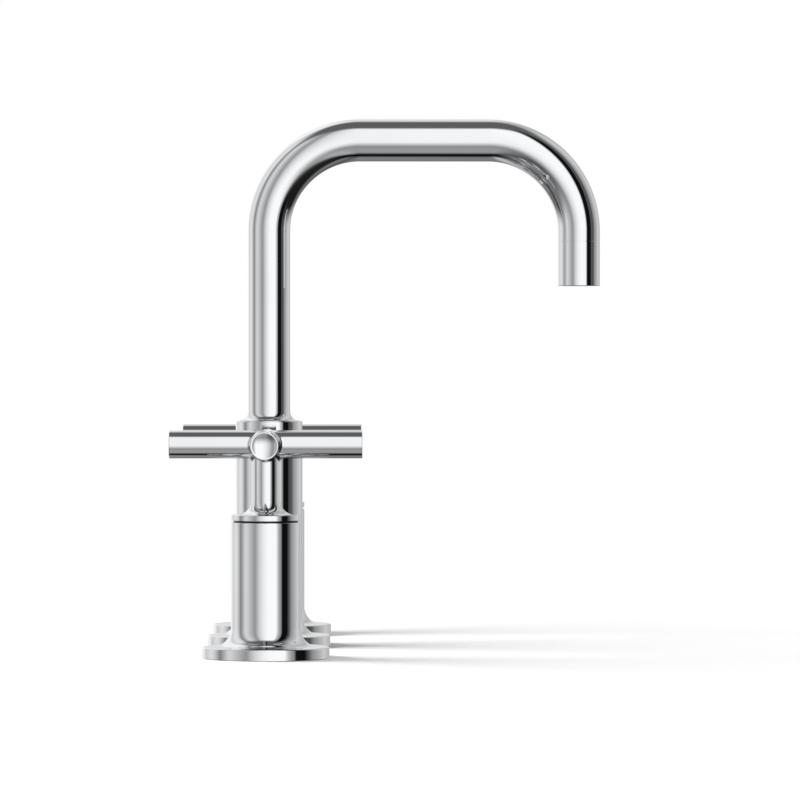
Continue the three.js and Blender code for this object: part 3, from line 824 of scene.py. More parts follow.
@dataclass(frozen=True)
class Clamp(Part):
    """What holds a unit on the deck: gasket and ring nut above, washer and hexagon nut below."""

    shank: float = 10.5  # radius of the threaded shank
    with_ring_nut: bool = False
    slack: float = 0.3
    deck: float = 30.0
    gasket_outer: float = 24.2
    gasket_inner: float = 18.9
    gasket_height: float = 1.5
    gasket_edge: float = 0.4
    washer_height: float = 3.0
    washer_width: float = 7.0
    washer_edge: float = 0.5
    nut_height: float = 8.0
    nut_wall: float = 4.2
    nut_face: float = 0.96  # share of the flats that the chamfer leaves flat
    nut_chamfer: float = 30.0  # degrees
    nut_mouth: float = 0.6
    ring_nut: float = 18.3
    ring_nut_top: float = 4.2
    ring_nut_edge: float = 0.3
    notch_depth: float = 2.5
    notch_width: float = 4.0
    notch_wall: float = 0.002  # radians to either side of a notch's wall

    def nut_shell(self, bore: float, top: float) -> Shell:
        """Hexagon nut with both faces chamfered, so that its corners show the usual curves.

        Args:
            bore: bore's radius.
            top: upper face.

        Returns:
            The shell.
        """
        flats = bore + self.nut_wall
        face = flats * self.nut_face
        bottom, mouth = top - self.nut_height, self.nut_mouth
        slope = math.tan(math.radians(self.nut_chamfer))
        return polar([
            lambda a: (bore, bottom + mouth),
            lambda a: (bore + mouth, bottom),
            lambda a: (face, bottom),
            lambda a: (hexagon(flats, a), bottom + (hexagon(flats, a) - face) * slope),
            lambda a: (hexagon(flats, a), top - (hexagon(flats, a) - face) * slope),
            lambda a: (face, top),
            lambda a: (bore + mouth, top),
            lambda a: (bore, top - mouth),
        ], [math.tau * side / SIDES for side in range(SIDES)])

    def ring_nut_shell(self, bore: float) -> Shell:
        """Ring nut with four wrench notches round its rim.

        Args:
            bore: bore's radius.

        Returns:
            The shell.
        """
        edge, bottom, top = self.ring_nut_edge, self.slack, self.ring_nut_top

        def rim(angle: float) -> float:
            """Radius of the rim, which is less inside a notch.

            Args:
                angle: the direction in radians.

            Returns:
                The radius.
            """
            off = abs((angle + math.pi / 4) % (math.pi / 2) - math.pi / 4)
            inside = self.ring_nut * math.sin(off) < self.notch_width / 2 - TINY
            return (self.ring_nut - self.notch_depth) / math.cos(off) if inside else self.ring_nut

        half = math.asin(self.notch_width / 2 / self.ring_nut)
        angles = sorted({round(math.tau * side / SIDES, 6) for side in range(SIDES)} | {
            round((quarter * math.pi / 2 + sign * (half + step)) % math.tau, 6)
            for quarter in range(4) for sign in (-1, 1) for step in (-self.notch_wall, self.notch_wall)})
        return polar([
            lambda a: (bore + edge, bottom),
            lambda a: (rim(a) - edge, bottom),
            lambda a: (rim(a), bottom + edge),
            lambda a: (rim(a), top - edge),
            lambda a: (rim(a) - edge, top),
            lambda a: (bore + edge, top),
            lambda a: (bore, top - edge),
            lambda a: (bore, bottom + edge),
        ], angles)

    def build(self) -> None:
        """Makes the clamping pieces and puts them in place of their nodes."""
        bore = self.shank + self.slack
        under = -self.deck
        washer_bottom = under - self.washer_height
        pieces = [
            ("deck_gasket", "gasket", RUBBER,
             ring(self.gasket_outer, self.gasket_inner, 0, self.gasket_height, self.gasket_edge)),
            ("mounting_washer", "washer", RUBBER,
             ring(bore + self.washer_width, bore, washer_bottom, under, self.washer_edge)),
            ("mounting_nut", "nut", BRASS, self.nut_shell(bore, washer_bottom - 2 * self.slack)),
        ]
        if self.with_ring_nut:
            pieces.append(("upper_ring_nut", "ring_nut", BRASS, self.ring_nut_shell(bore)))
        for node, name, finish, shell in pieces:
            self.fit(shell, f"{self.unit}_{name}_finished", f"{self.unit}_{node}", finish)


@dataclass(frozen=True)
class HoseEnd:
    """Threaded end that a hose screws on to. It is made standing on the unit's axis."""

    reach: float  # from the unit's axis to its mouth
    floor: float  # where its bore ends
    thread: float  # where its thread starts
    edge: float
    radius: float = 8.0
    bore: float = 4.2
    start: float = 6.0  # where it starts inside the body
    pitch: float = 1.34
    depth: float = 0.7
    sides: int = 72

    def shell(self) -> Shell:
        """The end with its bore and its thread.

        Returns:
            The shell.
        """
        last = self.reach - self.edge
        return turned(
            Outline().line(
                (0, self.start), (self.radius, self.start), (self.radius, last),
                (self.radius - self.edge, self.reach), (self.bore, self.reach),
                (self.bore, self.floor), (0, self.floor)),
            Thread(self.radius, self.thread, last, self.pitch, self.depth), self.sides)


@dataclass(frozen=True)
class ValveBody(Part):
    """Brass valve body: threaded shank, inlet end and side outlet, with its bores."""

    side: int = 1  # -1 where the outlet points to -X and 1 where it points to +X
    radius: float = 12.0
    top: float = 43.9
    thread_bottom: float = -42.1
    thread_top: float = 15.3
    shoulder: float = -59.6
    bottom: float = -73.6
    inlet: float = 10.4
    inlet_bore: float = 4.5
    inlet_skin: float = 0.05  # the inlet's thread is a shell of its own, so far outside it
    inlet_thread_depth: float = 0.8
    inlet_thread_end: float = 0.5  # below the shoulder
    cartridge_bore: float = 9.3
    seat: float = 9.3
    outlet: HoseEnd = HoseEnd(reach=27.0, floor=9.5, thread=14.0, edge=0.8)
    outlet_height: float = -51.6
    chamfer: float = 0.8

    def build(self) -> None:
        """Makes the body with its side outlet and puts it in place of its node."""
        cut, bore = self.chamfer, self.inlet_bore
        body = turned(
            Outline().line(
                (self.inlet - cut, self.bottom), (self.inlet, self.bottom + cut),
                (self.inlet, self.shoulder), (self.radius - cut, self.shoulder),
                (self.radius, self.shoulder + cut), (self.radius, self.top),
                (self.cartridge_bore, self.top), (self.cartridge_bore, self.seat),
                (bore, self.seat), (bore, self.bottom + cut / 2), (bore + cut / 2, self.bottom)),
            Thread(self.radius, self.thread_bottom, self.thread_top))
        skin, start = self.inlet + self.inlet_skin, self.bottom + cut
        inlet = turned(
            Outline().line((self.inlet, start), (skin, start), (skin, self.shoulder),
                           (self.inlet, self.shoulder)),
            Thread(skin, start, self.shoulder - self.inlet_thread_end, depth=self.inlet_thread_depth))
        body.add(inlet).add(self.outlet.shell(), laid(self.outlet_height, self.side, "Y"))
        self.fit(body, f"{self.unit}_body_finished", f"{self.unit}_valve_body", BRASS)


@dataclass(frozen=True)
class GlideRing(Part):
    """Low-friction ring in the gap between the column and the handle's cap. Black and raised to fill the
    gap, it is painted shade where the gap lies in shadow.
    """

    outer: float = 13.9
    inner: float = 12.6
    bottom: float = 57.9
    top: float = 59.55  # fills the gap, so that its black stands in for the gap's shadow: painted shade
    edge: float = 0.25

    def build(self) -> None:
        """Makes the ring and puts it in place of its node."""
        shell = ring(self.outer, self.inner, self.bottom, self.top, self.edge)
        self.fit(shell, f"{self.unit}_glide", f"{self.unit}_glide_ring", BLACK_ACETAL_GAP_SHADE)


@dataclass(frozen=True)
class Valve:
    """One valve unit with its handle."""

    name: str
    side: int  # -1 for the hot valve at -X and 1 for the cold valve at +X
    body: Body
    spacing: float = 203.2

    def build(self) -> None:
        """Builds the valve from the deck's underside up to its handle."""
        unit, x = self.name, self.side * self.spacing / 2
        parts = (
            Clamp(unit, x, shank=12.0, with_ring_nut=True),
            ValveBody(unit, x, side=-self.side),
            Escutcheon(unit, x, height=58.9, foot_bore=12.3, foot_height=11.0, counterbore=14.2, seat=57.6),
            GlideRing(unit, x),
            CrossHandle(unit, x, body=self.body),
            SetScrew(unit, x, body=self.body),
        )
        for part in parts:
            part.build()
        self.dress_cartridge()

    def dress_cartridge(self) -> None:
        """Gives the hidden inner pieces their finishes."""
        finishes = {
            "seat_seal": RUBBER, "cartridge_housing": BRASS, "fixed_disc": CERAMIC,
            "moving_disc": CERAMIC, "spindle": BRASS, "spindle_o_ring": RUBBER,
            "gland_nut": BRASS, "handle_adapter": BRASS, "adapter_screw": STEEL,
        }
        for node, finish in finishes.items():
            dress(f"{self.name}_{node}", finish)


@dataclass(frozen=True)
class SpoutPipe(Part):
    """Bent spout pipe with the collar that stands on the column's rim."""

    radius: float = 9.525
    bore: float = 8.125
    collar: float = 13.7
    collar_edge: float = 0.1
    fillet: float = 4.175
    seat: float = 101.35
    collar_base: float = 101.6
    plug: float = 12.8
    plug_edge: float = 0.4
    plug_bottom: float = 87.3
    bend_height: float = 186.875
    bend: float = 41.0
    reach: float = 139.7
    end: float = 182.38
    bend_steps: int = 64

    def level(self, tilt: float, centre: Vector, radius: float) -> list[Vector]:
        """Ring square to the centre line.

        Args:
            tilt: how far the centre line has turned over, in radians.
            centre: the ring's centre.
            radius: its radius.

        Returns:
            The ring's points.
        """
        turn = Matrix.Rotation(tilt, 3, "X")
        return [centre + turn @ Vector((radius * x, radius * y, 0)) for x, y in around(SIDES)]

    def bends(self) -> list[tuple[float, Vector]]:
        """Follows the centre line round the two bends and the run between them.

        Returns:
            Tilts in radians and centres.
        """
        turns = [math.pi / 2 * step / self.bend_steps for step in range(self.bend_steps + 1)]
        places = [(turn, Vector((0, -self.bend * (1 - math.cos(turn)),
                                 self.bend_height + self.bend * math.sin(turn)))) for turn in turns]
        top = self.bend_height + self.bend
        places += [(math.pi / 2, Vector((0, y, top)))
                   for y in (-self.bend - SUPPORT, -self.reach + self.bend + SUPPORT)]
        places += [(math.pi / 2 + turn, Vector((0, -self.reach + self.bend * (1 - math.sin(turn)),
                                                self.bend_height + self.bend * math.cos(turn))))
                   for turn in turns]
        return places

    def build(self) -> None:
        """Makes the pipe, up its outside and back through its bore, and puts it in place."""
        edge, rim = self.plug_edge, self.collar_edge
        foot = Outline().line(
            (self.bore, self.plug_bottom), (self.plug - edge, self.plug_bottom),
            (self.plug, self.plug_bottom + edge), (self.plug, self.seat),
            (self.collar - rim, self.seat), (self.collar, self.seat + rim))
        foot.arc((self.collar, self.collar_base + self.fillet), self.fillet, 270, 180, 32)
        foot.line((self.radius, self.bend_height - SUPPORT))
        rings = [self.level(0, Vector((0, 0, z)), r) for r, z in foot.supported(False)]
        places = self.bends()
        rings += [self.level(tilt, centre, self.radius) for tilt, centre in places]
        mouth = Vector((0, -self.reach, self.end))
        for radius, rise in ((self.radius, SUPPORT * 2), (self.radius, SEAM_EDGE),
                             (self.radius - SEAM_EDGE, 0), (self.bore, 0)):
            rings.append(self.level(math.pi, mouth + Vector((0, 0, rise)), radius))
        rings += [self.level(tilt, centre, self.bore) for tilt, centre in reversed(places)]
        self.fit(Shell().add_rings(rings, closed=True), "spout_pipe", "spout_tube", CHROME)


@dataclass(frozen=True)
class Aerator(Part):
    """Outlet sleeve with its fine seam, and the woven screen in its mouth."""

    y: float = -139.7
    radius: float = 9.525
    seam: float = 182.275
    mouth: float = 162.275
    spigot: float = 7.825
    spigot_top: float = 186.275
    spigot_bore: float = 6.325
    shoulder: float = 177.275
    sleeve_bore: float = 8.025
    lip: float = 0.25
    lip_bore: float = 7.225
    lip_top: float = 163.075
    screen_bottom: float = 163.375
    screen_radius: float = 7.725
    screen_height: float = 0.8
    screen_edge: float = 0.3
    wire: float = 0.16  # radius of the screen's wires
    wire_sides: int = 6
    mesh: float = 1.05  # wire to wire, drawn a little coarser than real so that it shows
    mesh_steps: int = 4  # from wire to wire
    rim: float = 0.9

    def sleeve(self) -> Shell:
        """Sleeve with its spigot, shoulder and lip.

        Returns:
            The shell.
        """
        lip = self.lip
        line = Outline().arc((self.radius - lip, self.mouth + lip), lip, -90, 0, 6)
        line.line((self.radius, self.seam - SEAM_EDGE), (self.radius - SEAM_EDGE, self.seam),
                  (self.spigot, self.seam), (self.spigot, self.spigot_top),
                  (self.spigot_bore, self.spigot_top), (self.spigot_bore, self.shoulder),
                  (self.sleeve_bore, self.shoulder), (self.sleeve_bore, self.lip_top),
                  (self.lip_bore, self.lip_top))
        return turned(line.arc((self.lip_bore + lip, self.mouth + lip), lip, 180, 270, 4))

    def screen(self) -> Shell:
        """Woven wire screen in its rolled rim.

        Returns:
            The shell.
        """
        middle = self.screen_bottom + self.screen_height / 2
        whole = ring(self.screen_radius, self.screen_radius - self.rim, self.screen_bottom,
                     self.screen_bottom + self.screen_height, self.screen_edge)
        room = self.screen_radius - self.rim / 2
        count = int(room / self.mesh)
        for wire in range(-count, count + 1):
            offset = wire * self.mesh
            half = math.sqrt(room ** 2 - offset ** 2)
            steps = max(self.mesh_steps, round(2 * half / self.mesh * self.mesh_steps))
            for lengthwise in (True, False):
                sign = (-1) ** wire * (1 if lengthwise else -1)
                rings = []
                for step in range(steps + 1):
                    along = -half + 2 * half * step / steps
                    rise = sign * self.wire * math.cos(math.pi * along / self.mesh)
                    rings.append([Vector((
                        along if lengthwise else offset + self.wire * a,
                        offset + self.wire * a if lengthwise else along,
                        middle + rise + self.wire * b)) for a, b in around(self.wire_sides)])
                whole.add_rings(rings)
        return whole

    def build(self) -> None:
        """Makes the sleeve and the screen and dresses what lies between them."""
        self.fit(self.sleeve(), "outlet_sleeve", "aerator_sleeve", CHROME)
        self.fit(self.screen(), "outlet_screen", "aerator_screen", STEEL)
        dress("aerator_washer", RUBBER)
        dress("flow_regulator", WHITE_ACETAL)
        dress("aerator_insert", WHITE_ACETAL)


@dataclass(frozen=True)
class Tee(Part):
    """Forged tee below the deck that joins the hot and the cold water."""

    bore: float = 10.8
    wall: float = 3.2
    mouth: float = 0.5
    top: float = -43.6
    floor: float = -60.4
    axis: float = -69.4
    end: HoseEnd = HoseEnd(reach=32.0, floor=7.0, thread=17.0, edge=0.7)
    bottom: float = -82.4
    edge: float = 1.2

    def build(self) -> None:
        """Makes the socket, its foot and the two threaded ends and puts them in place."""
        outer, edge, foot = self.bore + self.wall, self.edge, self.end.radius
        under = self.axis - foot
        socket = turned(
            Outline()
            .line((0, self.bottom), (foot - edge, self.bottom), (foot, self.bottom + edge),
                  (outer - edge, under - edge / 2))
            .arc((outer - edge, under + edge), edge, -60, 0, 4)
            .arc((outer - edge, self.top - edge), edge, 0, 90, 6)
            .line((self.bore + self.mouth, self.top), (self.bore, self.top - self.mouth),
                  (self.bore, self.floor), (0, self.floor)))
        for side in (-1, 1):
            socket.add(self.end.shell(), laid(self.axis, side, "Y"))
        self.fit(socket, "tee_forging", "spout_tee", FORGING)


@dataclass(frozen=True)
class Shank(Part):
    """Threaded tube that clamps the spout's column to the deck."""

    radius: float = 10.5
    bore: float = 6.5
    bottom: float = -57.6
    top: float = 21.7
    edge: float = 0.8

    def build(self) -> None:
        """Makes the shank and puts it in place of its node."""
        edge = self.edge
        low, high = self.bottom + edge, self.top - edge
        shank = turned(
            Outline().line((self.bore, self.bottom), (self.radius - edge, self.bottom), (self.radius, low),
                           (self.radius, high), (self.radius - edge, self.top), (self.bore, self.top)),
            Thread(self.radius, low, high))
        self.fit(shank, "spout_shank_threaded", "spout_shank", BRASS)


@dataclass(frozen=True)
class Spout:
    """The spout unit: column, pipe, outlet and what holds and feeds it below the deck."""

    parts: tuple[Part, ...] = (Clamp(), Escutcheon(), SpoutPipe(), Aerator(), Shank(), Tee())
    seals: tuple[str, ...] = ("spout_o_ring", "tee_seal")

    def build(self) -> None:
        """Builds the spout's parts and dresses the seals between them."""
        for part in self.parts:
            part.build()
        for seal in self.seals:
            dress(seal, RUBBER)


# Studio


def hang(
    name: str, data: bpy.types.Light | bpy.types.Camera, place: Vector, aim: Quaternion,
) -> bpy.types.Object:
    """Puts up a lamp or a camera.

    Args:
        name: its name.
        data: the lamp or camera.
        place: where it goes, in metres.
        aim: how it is turned.

    Returns:
        Its object.
    """
    piece = bpy.data.objects.new(name, data)
    piece.location = place
    piece.rotation_mode = "QUATERNION"
    piece.rotation_quaternion = aim
    bpy.context.scene.collection.objects.link(piece)
    return piece


def add_stage(name: str, shell: Shell, material: bpy.types.Material, *hidden_from: Ray) -> None:
    """Adds a piece of the studio.

    Args:
        name: its name.
        shell: its shape.
        material: its material.
        hidden_from: the rays that pass it.
    """
    piece = shell.piece(name, welded=False)
    piece.data.materials.append(material)
    for ray in hidden_from:
        setattr(piece, ray.value, False)


def add_glow(name: str, shell: Shell, surface: Callable[[Tree], Socket]) -> None:
    """Adds a bright or dark piece that only mirrors see.

    Args:
        name: its name.
        shell: its shape.
        surface: makes its nodes and returns its shader.
    """
    made = bpy.data.materials.new(name)
    made.use_nodes = True
    made.cycles.emission_sampling = "NONE"
    tree = made.node_tree
    tree.nodes.remove(tree.nodes["Principled BSDF"])
    show(tree, surface(tree))
    add_stage(name, shell, made, Ray.CAMERA, Ray.SHADOW, Ray.DIFFUSE)


def bearings(tree: Tree, place: Socket) -> tuple[Socket, Socket, Socket]:
    """Which way a place lies from the origin.

    Args:
        tree: the nodes that it joins.
        place: the place.

    Returns:
        How far it lies to the camera's side, its bearing in degrees and its height.
    """
    split = add_node(tree, "SeparateXYZ", {"Vector": place}).node.outputs
    near, right = (add_node(tree, "Math", {0: split[axis], 1: -1.0}, operation="MULTIPLY")
                   for axis in "XY")
    bearing = add_node(tree, "Math", {0: right, 1: near}, operation="ARCTAN2")
    return near, add_node(tree, "Math", {0: bearing}, operation="DEGREES"), split["Z"]


@dataclass(frozen=True)
class Card:
    """Card hung in the tent, or a stretch of its cloth: one grey between two angles.

    The tent's grey runs evenly from the end of one card to the start of the next.
    """

    start: float  # degrees
    end: float
    level: int  # sRGB grey from 0 to 255


@dataclass(frozen=True)
class Tent:
    """Light tent with grey cards, which the chrome mirrors and nothing else sees.

    Bearings go round it from the camera's side, positive to the spout's side, and heights go up
    from the horizon. The greys were read from the photo, by the direction that each spot of its
    chrome mirrors, then adjusted in trial renders and rounded to steps of five.
    """

    radius: float = 14000.0
    upright_cards: tuple[Card, ...] = (
        Card(-180, -176, 215),
        Card(-168, -148, 240),
        Card(-136, -136, 205),
        Card(-119, -112, 225),
        Card(-103, -103, 205),
        Card(-91, -88, 135),  # thin grey edge
        Card(-70, -65, 210),
        Card(-37, -33, 150),  # grey strip left of the camera
        Card(-20, -20, 205),
        Card(-6, -6, 235),
        Card(8, 35, 250),  # brightest cloth
        Card(42, 42, 190),
        Card(49, 49, 145),
        Card(77, 84, 80),  # grey cloth beside the black card
        Card(96, 96, 150),
        Card(130, 130, 205),
        Card(162, 162, 175),
        Card(176, 180, 215),
    )
    # Painted reflection of the floor, which mirrors don't see: greys by bearing below the horizon, with the
    # units' own shadow painted in on the spout's side.
    floor_reflection_cards: tuple[Card, ...] = (
        Card(-180, -177, 125),
        Card(-166, -160, 190),
        Card(-138, -114, 110),
        Card(-103, -101, 60),
        Card(-84, -60, 120),
        Card(-37, -28, 90),
        Card(-7, 8, 150),
        Card(18, 33, 165),
        Card(53, 55, 55),
        Card(68, 113, 30),  # painted reflection of the units' own shadow on the floor, on the spout's side
        Card(137, 149, 115),
        Card(160, 164, 85),
        Card(178, 180, 125),
    )
    # Painted reflection of the floor by height: darker towards straight down.
    floor_reflection_heights: tuple[Card, ...] = (
        Card(-90, -84, 40),
        Card(-78, -77, 170),
        Card(-70, -50, 255),
        Card(-40, 0, 240),
    )
    floor_reflection_edge: tuple[Pair, Pair] = ((0.0, 4.0), (18.0, 24.0))  # its start and end, as edge takes them
    ceiling_edge: tuple[Pair, Pair] = ((48.5, 20.0), (68.5, 16.0))
    ceiling: int = 92  # sRGB grey

    def ramp(self, tree: Tree, value: Socket, cards: Sequence[Card], low: float, high: float) -> Socket:
        """Grey that the cards have at an angle.

        Args:
            tree: the nodes that it joins.
            value: the angle in degrees.
            cards: the cards in rising order.
            low: lowest angle.
            high: highest angle.

        Returns:
            The grey.
        """
        share = add_node(tree, "MapRange", {"Value": value, "From Min": low, "From Max": high})
        return add_node(tree, "ValToRGB", {"Fac": share}, stops=[
            ((angle - low) / (high - low), cloth(card.level))
            for card in cards for angle in sorted({card.start, card.end})])

    def edge(self, tree: Tree, angle: Socket, front: Socket, start: Pair, end: Pair) -> Socket:
        """Soft edge between two parts of the tent that lies further off towards the camera.

        Args:
            tree: the nodes that it joins.
            angle: the angle across the edge, in degrees.
            front: 1 towards the camera and 0 at the sides and behind.
            start: where the edge starts at the sides, and how much further off in front.
            end: the same for its end.

        Returns:
            What goes from 0 to 1 over the edge.
        """
        low, high = (add_node(tree, "Math", {0: front, 1: more, 2: least}, operation="MULTIPLY_ADD")
                     for least, more in (start, end))
        return add_node(tree, "MapRange", {"Value": angle, "From Min": low, "From Max": high},
                        interpolation_type="SMOOTHSTEP")

    def surface(self, tree: Tree) -> Socket:
        """Makes the upright cards, the painted reflection of the floor under them and the ceiling above.

        Args:
            tree: the nodes that it joins.

        Returns:
            The tent's shader.
        """
        place = add_node(tree, "TexCoord", output="Object")
        towards = add_node(tree, "VectorMath", {0: place}, operation="NORMALIZE")
        near, bearing, height = bearings(tree, towards)
        rise = add_node(tree, "Math", {0: height}, operation="ARCSINE")
        rise = add_node(tree, "Math", {0: rise}, operation="DEGREES")
        drop = add_node(tree, "Math", {0: rise, 1: -1.0}, operation="MULTIPLY")
        front = add_node(tree, "Math", {0: near, 1: 0.0}, operation="MAXIMUM")
        floor_reflection = add_node(tree, "Mix", {
            "Factor": 1.0, "A": self.ramp(tree, bearing, self.floor_reflection_cards, -180, 180),
            "B": self.ramp(tree, rise, self.floor_reflection_heights, -90, 0),
        }, "Result", data_type="RGBA", blend_type="MULTIPLY")
        lower = add_node(tree, "Mix", {
            "Factor": self.edge(tree, drop, front, *self.floor_reflection_edge),
            "A": self.ramp(tree, bearing, self.upright_cards, -180, 180), "B": floor_reflection,
        }, "Result", data_type="RGBA")
        whole = add_node(tree, "Mix", {
            "Factor": self.edge(tree, rise, front, *self.ceiling_edge),
            "A": lower, "B": cloth(self.ceiling),
        }, "Result", data_type="RGBA")
        return add_node(tree, "Emission", {"Color": whole, "Strength": CARD_GLOW})

    def build(self) -> None:
        """Puts the tent up round the object."""
        line = Outline().arc((0, 0), self.radius, -90, 90, 48)
        line.points[0], line.points[-1] = (0.0, -self.radius), (0.0, self.radius)
        add_glow("light_tent", turned(line), self.surface)


@dataclass(frozen=True)
class BlackCard:
    """Tall black card that draws the dark line down the right of every column.

    It has graded edges, and stands so near that its line shifts from unit to unit.
    """

    distance: float = 850.0
    level: int = 14  # sRGB grey
    across: Reach = (46.0, 51.5, 67.5, 77.0)  # bearings in degrees
    upwards: Reach = (-415.0, -25.0, 1200.0, 3000.0)
    strips: int = 16

    def surface(self, tree: Tree) -> Socket:
        """Makes the card black, and clear beyond its graded edges.

        Args:
            tree: the nodes that it joins.

        Returns:
            The card's shader.
        """
        place = add_node(tree, "TexCoord", output="Object")
        _, bearing, height = bearings(tree, place)
        share = 1.0
        for value, reach, unit in ((bearing, self.across, 1.0), (height, self.upwards, MM)):
            start, full, last, end = (stop * unit for stop in reach)
            for low, high in ((start, full), (end, last)):
                edge = add_node(tree, "MapRange", {"Value": value, "From Min": low, "From Max": high},
                                interpolation_type="SMOOTHSTEP")
                share = add_node(tree, "Math", {0: share, 1: edge}, operation="MULTIPLY")
        black = add_node(tree, "Emission", {"Color": cloth(self.level), "Strength": CARD_GLOW})
        clear = add_node(tree, "BsdfTransparent")
        return add_node(tree, "MixShader", {0: share, 1: clear, 2: black})

    def build(self) -> None:
        """Puts the card up, bent round the spout."""
        first, last = self.across[0], self.across[-1]
        turns = [math.radians(first + (last - first) * strip / self.strips)
                 for strip in range(self.strips + 1)]
        points = [Vector((-self.distance * math.cos(turn), -self.distance * math.sin(turn), height))
                  for height in (self.upwards[0], self.upwards[-1]) for turn in turns]
        above = len(turns)
        faces = [(at, at + 1, at + 1 + above, at + above) for at in range(self.strips)]
        add_glow("black_card", Shell(points, faces), self.surface)


@dataclass(frozen=True)
class SoftLamp:
    """Soft lamp close by on the left, turned to the spout's foot. No mirror shows it."""

    place: Triple = (0.0, 240.0, 105.0)
    size: Pair = (235.0, 70.0)  # width along the row and height
    level: float = 0.95  # what it adds to a white floor at the spout
    cells: int = 8
    fade: Pair = (130.0, 200.0)  # distances from it where on_floor starts to count it and does in full

    def point(self) -> Vector:
        """Its middle in metres."""
        return Vector(self.place) * MM

    def turn(self) -> Quaternion:
        """How it is turned."""
        return self.point().to_track_quat("Z", "Y")

    def share(self) -> float:
        """Works out how much of its light its size costs it at the spout.

        Returns:
            Its light there, over what a lamp of no size and the same power gives.
        """
        middle, turn = self.point(), self.turn()
        steps = [(step + 0.5) / self.cells - 0.5 for step in range(self.cells)]
        cells = [middle + turn @ Vector((self.size[0] * x * MM, self.size[1] * y * MM, 0))
                 for x in steps for y in steps]
        light = sum(cell.z * cell.dot(middle.normalized()) / cell.length ** 4 for cell in cells)
        return light / len(cells) * middle.length ** 3 / middle.z

    def build(self) -> None:
        """Puts the lamp up."""
        middle = self.point()
        light = bpy.data.lights.new("soft_lamp", "AREA")
        light.shape, light.size, light.size_y = "RECTANGLE", self.size[0] * MM, self.size[1] * MM
        # Its power over pi is its light along its axis, and a floor that gets pi of light shows white.
        light.energy = self.level / self.share() * math.pi ** 2 * middle.length ** 3 / middle.z
        lamp = hang("soft_lamp", light, middle, self.turn())
        lamp.visible_glossy = lamp.visible_camera = False

    def on_floor(self, tree: Tree, place: Socket) -> Socket:
        """What it adds to the white floor at a place, where nothing stands in its way.

        Args:
            tree: the nodes that it joins.
            place: the place on the floor in metres.

        Returns:
            The level.
        """
        middle = self.point()
        away = add_node(tree, "VectorMath", {0: place, 1: tuple(middle)}, operation="SUBTRACT")
        along = add_node(tree, "VectorMath", {0: away, 1: tuple(-middle.normalized())}, "Value",
                         operation="DOT_PRODUCT")
        far = add_node(tree, "VectorMath", {0: away}, "Value", operation="LENGTH")
        spread = add_node(tree, "Math", {0: far, 1: 4.0}, operation="POWER")
        share = add_node(tree, "Math", {0: along, 1: spread}, operation="DIVIDE")
        lit = add_node(tree, "Math", {0: share, 1: 0.0}, operation="MAXIMUM")
        # Right under the lamp its size tells, so it isn't counted there. The floor is past white anyway.
        level = add_node(tree, "MapRange", {
            "Value": far, "From Min": self.fade[0] * MM, "From Max": self.fade[1] * MM,
            "To Max": self.level * middle.length ** 3})
        return add_node(tree, "Math", {0: lit, 1: level}, operation="MULTIPLY")


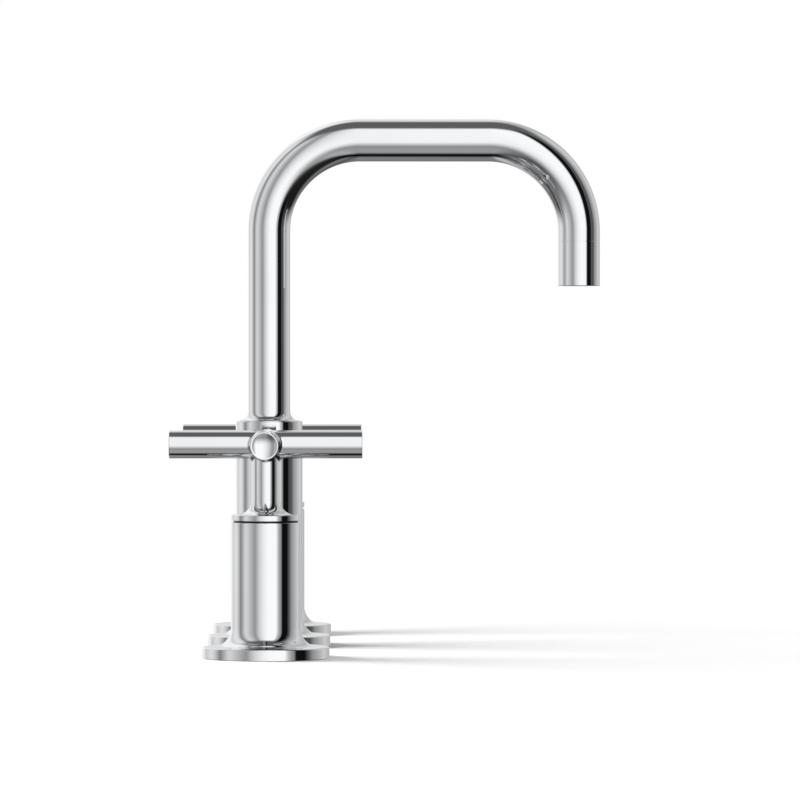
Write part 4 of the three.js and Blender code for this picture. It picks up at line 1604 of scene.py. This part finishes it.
@dataclass(frozen=True)
class Studio:
    """Light tent, black card, white floor and the lights."""

    lamp: SoftLamp = SoftLamp()
    front_from: Triple = (-0.75, 0.1, 0.65)  # the way to the front fill
    front_spread: float = 40.0  # degrees
    front_level: float = 0.05  # what the front fill gives to a white floor
    sky_level: float = 0.12  # what the world gives to a white floor
    white_level: float = 1.02  # what the camera sees of the floor outside the shadows
    floor_size: float = 30000.0
    floor_grain: float = 60.0

    def floor(self) -> None:
        """White floor that takes the shadows and passes into the white background.

        From below it is clear, so that the underside shows.
        """
        made = bpy.data.materials.new("white_sweep")
        made.use_nodes = True
        tree = made.node_tree
        shader = tree.nodes["Principled BSDF"]
        shader.inputs["Roughness"].default_value = 0.9
        shader.inputs["Specular IOR Level"].default_value = 0.0
        place = add_node(tree, "TexCoord", output="Object")
        grain = add_node(tree, "TexNoise", {"Vector": place, "Scale": 1 / (self.floor_grain * MM)})
        tones = add_node(tree, "ValToRGB", {"Fac": grain}, stops=(
            (0.0, linear("#fdfdfd")), (1.0, linear("#ffffff"))))
        tree.links.new(tones, shader.inputs["Base Color"])
        # What the lights leave short of white grows with the distance from the lamp.
        short = add_node(tree, "Math", {
            0: self.white_level - self.sky_level - self.front_level,
            1: self.lamp.on_floor(tree, place)}, operation="SUBTRACT")
        missing = add_node(tree, "Math", {0: short, 1: 0.0}, operation="MAXIMUM")
        seen = add_node(tree, "LightPath", output="Is Camera Ray")
        share = add_node(tree, "Math", {0: missing, 1: seen}, operation="MULTIPLY")
        white = add_node(tree, "Emission", {"Strength": share})
        top = add_node(tree, "AddShader", {0: shader.outputs[0], 1: white})
        clear = add_node(tree, "BsdfTransparent")
        below = add_node(tree, "NewGeometry", output="Backfacing")
        show(tree, add_node(tree, "MixShader", {0: below, 1: top, 2: clear}))
        half = self.floor_size / 2
        corners = [Vector((x * half, y * half, 0)) for x, y in ((-1, -1), (1, -1), (1, 1), (-1, 1))]
        add_stage("floor", Shell(corners, [(0, 1, 2, 3)]), made, Ray.GLOSSY)

    def front(self) -> None:
        """Broad weak light from the camera's side, which softens the shadows behind the units."""
        towards = Vector(self.front_from).normalized()
        light = bpy.data.lights.new("front_fill", "SUN")
        light.angle = math.radians(self.front_spread)
        light.energy = self.front_level * math.pi / towards.z
        hang("front_fill", light, towards, towards.to_track_quat("Z", "Y")).visible_glossy = False

    def world(self) -> None:
        """White round everything: full white to the camera and mirrors, the fill level to the rest."""
        world = bpy.data.worlds.new("white_studio")
        world.use_nodes = True
        tree = world.node_tree
        shown = add_node(tree, "LightPath", output="Is Camera Ray")
        for kind in ("Is Glossy Ray", "Is Transmission Ray"):
            ray = add_node(tree, "LightPath", output=kind)
            shown = add_node(tree, "Math", {0: shown, 1: ray}, operation="MAXIMUM")
        level = add_node(tree, "MapRange", {"Value": shown, "To Min": self.sky_level, "To Max": 1.0})
        sky = tree.nodes["Background"]
        sky.inputs["Color"].default_value = (1.0, 1.0, 1.0, 1.0)
        tree.links.new(level, sky.inputs["Strength"])
        bpy.context.scene.world = world

    def build(self) -> None:
        """Builds the studio."""
        self.world()
        Tent().build()
        BlackCard().build()
        self.floor()
        self.lamp.build()
        self.front()
        bpy.context.scene.view_settings.view_transform = "Standard"


@dataclass(frozen=True)
class PhotoCamera:
    """Long lens that looks along the row of the three units, a little over the deck."""

    place: Triple = (-2517.0, -36.5, 134.3)
    aim: Triple = (1.0, -0.00896, -0.00932)  # the way it looks
    lens: float = 251.1
    sensor: float = 36.0
    clip: Pair = (0.05, 100.0)  # metres

    def build(self) -> None:
        """Makes the camera and hands it to the scene."""
        data = bpy.data.cameras.new("photo_camera")
        data.lens, data.sensor_width = self.lens, self.sensor
        data.clip_start, data.clip_end = self.clip
        aim = Vector(self.aim).to_track_quat("-Z", "Y")
        bpy.context.scene.camera = hang("photo_camera", data, Vector(self.place) * MM, aim)


def main() -> None:
    """Builds the camera, the three units and the studio, in that order."""
    logging.basicConfig(level=logging.INFO, format="%(name)s: %(message)s")
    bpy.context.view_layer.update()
    PhotoCamera().build()
    Valve("hot", -1, Body.HOT).build()
    Spout().build()
    Valve("cold", 1, Body.COLD).build()
    Studio().build()


if __name__ == "__main__":
    main()
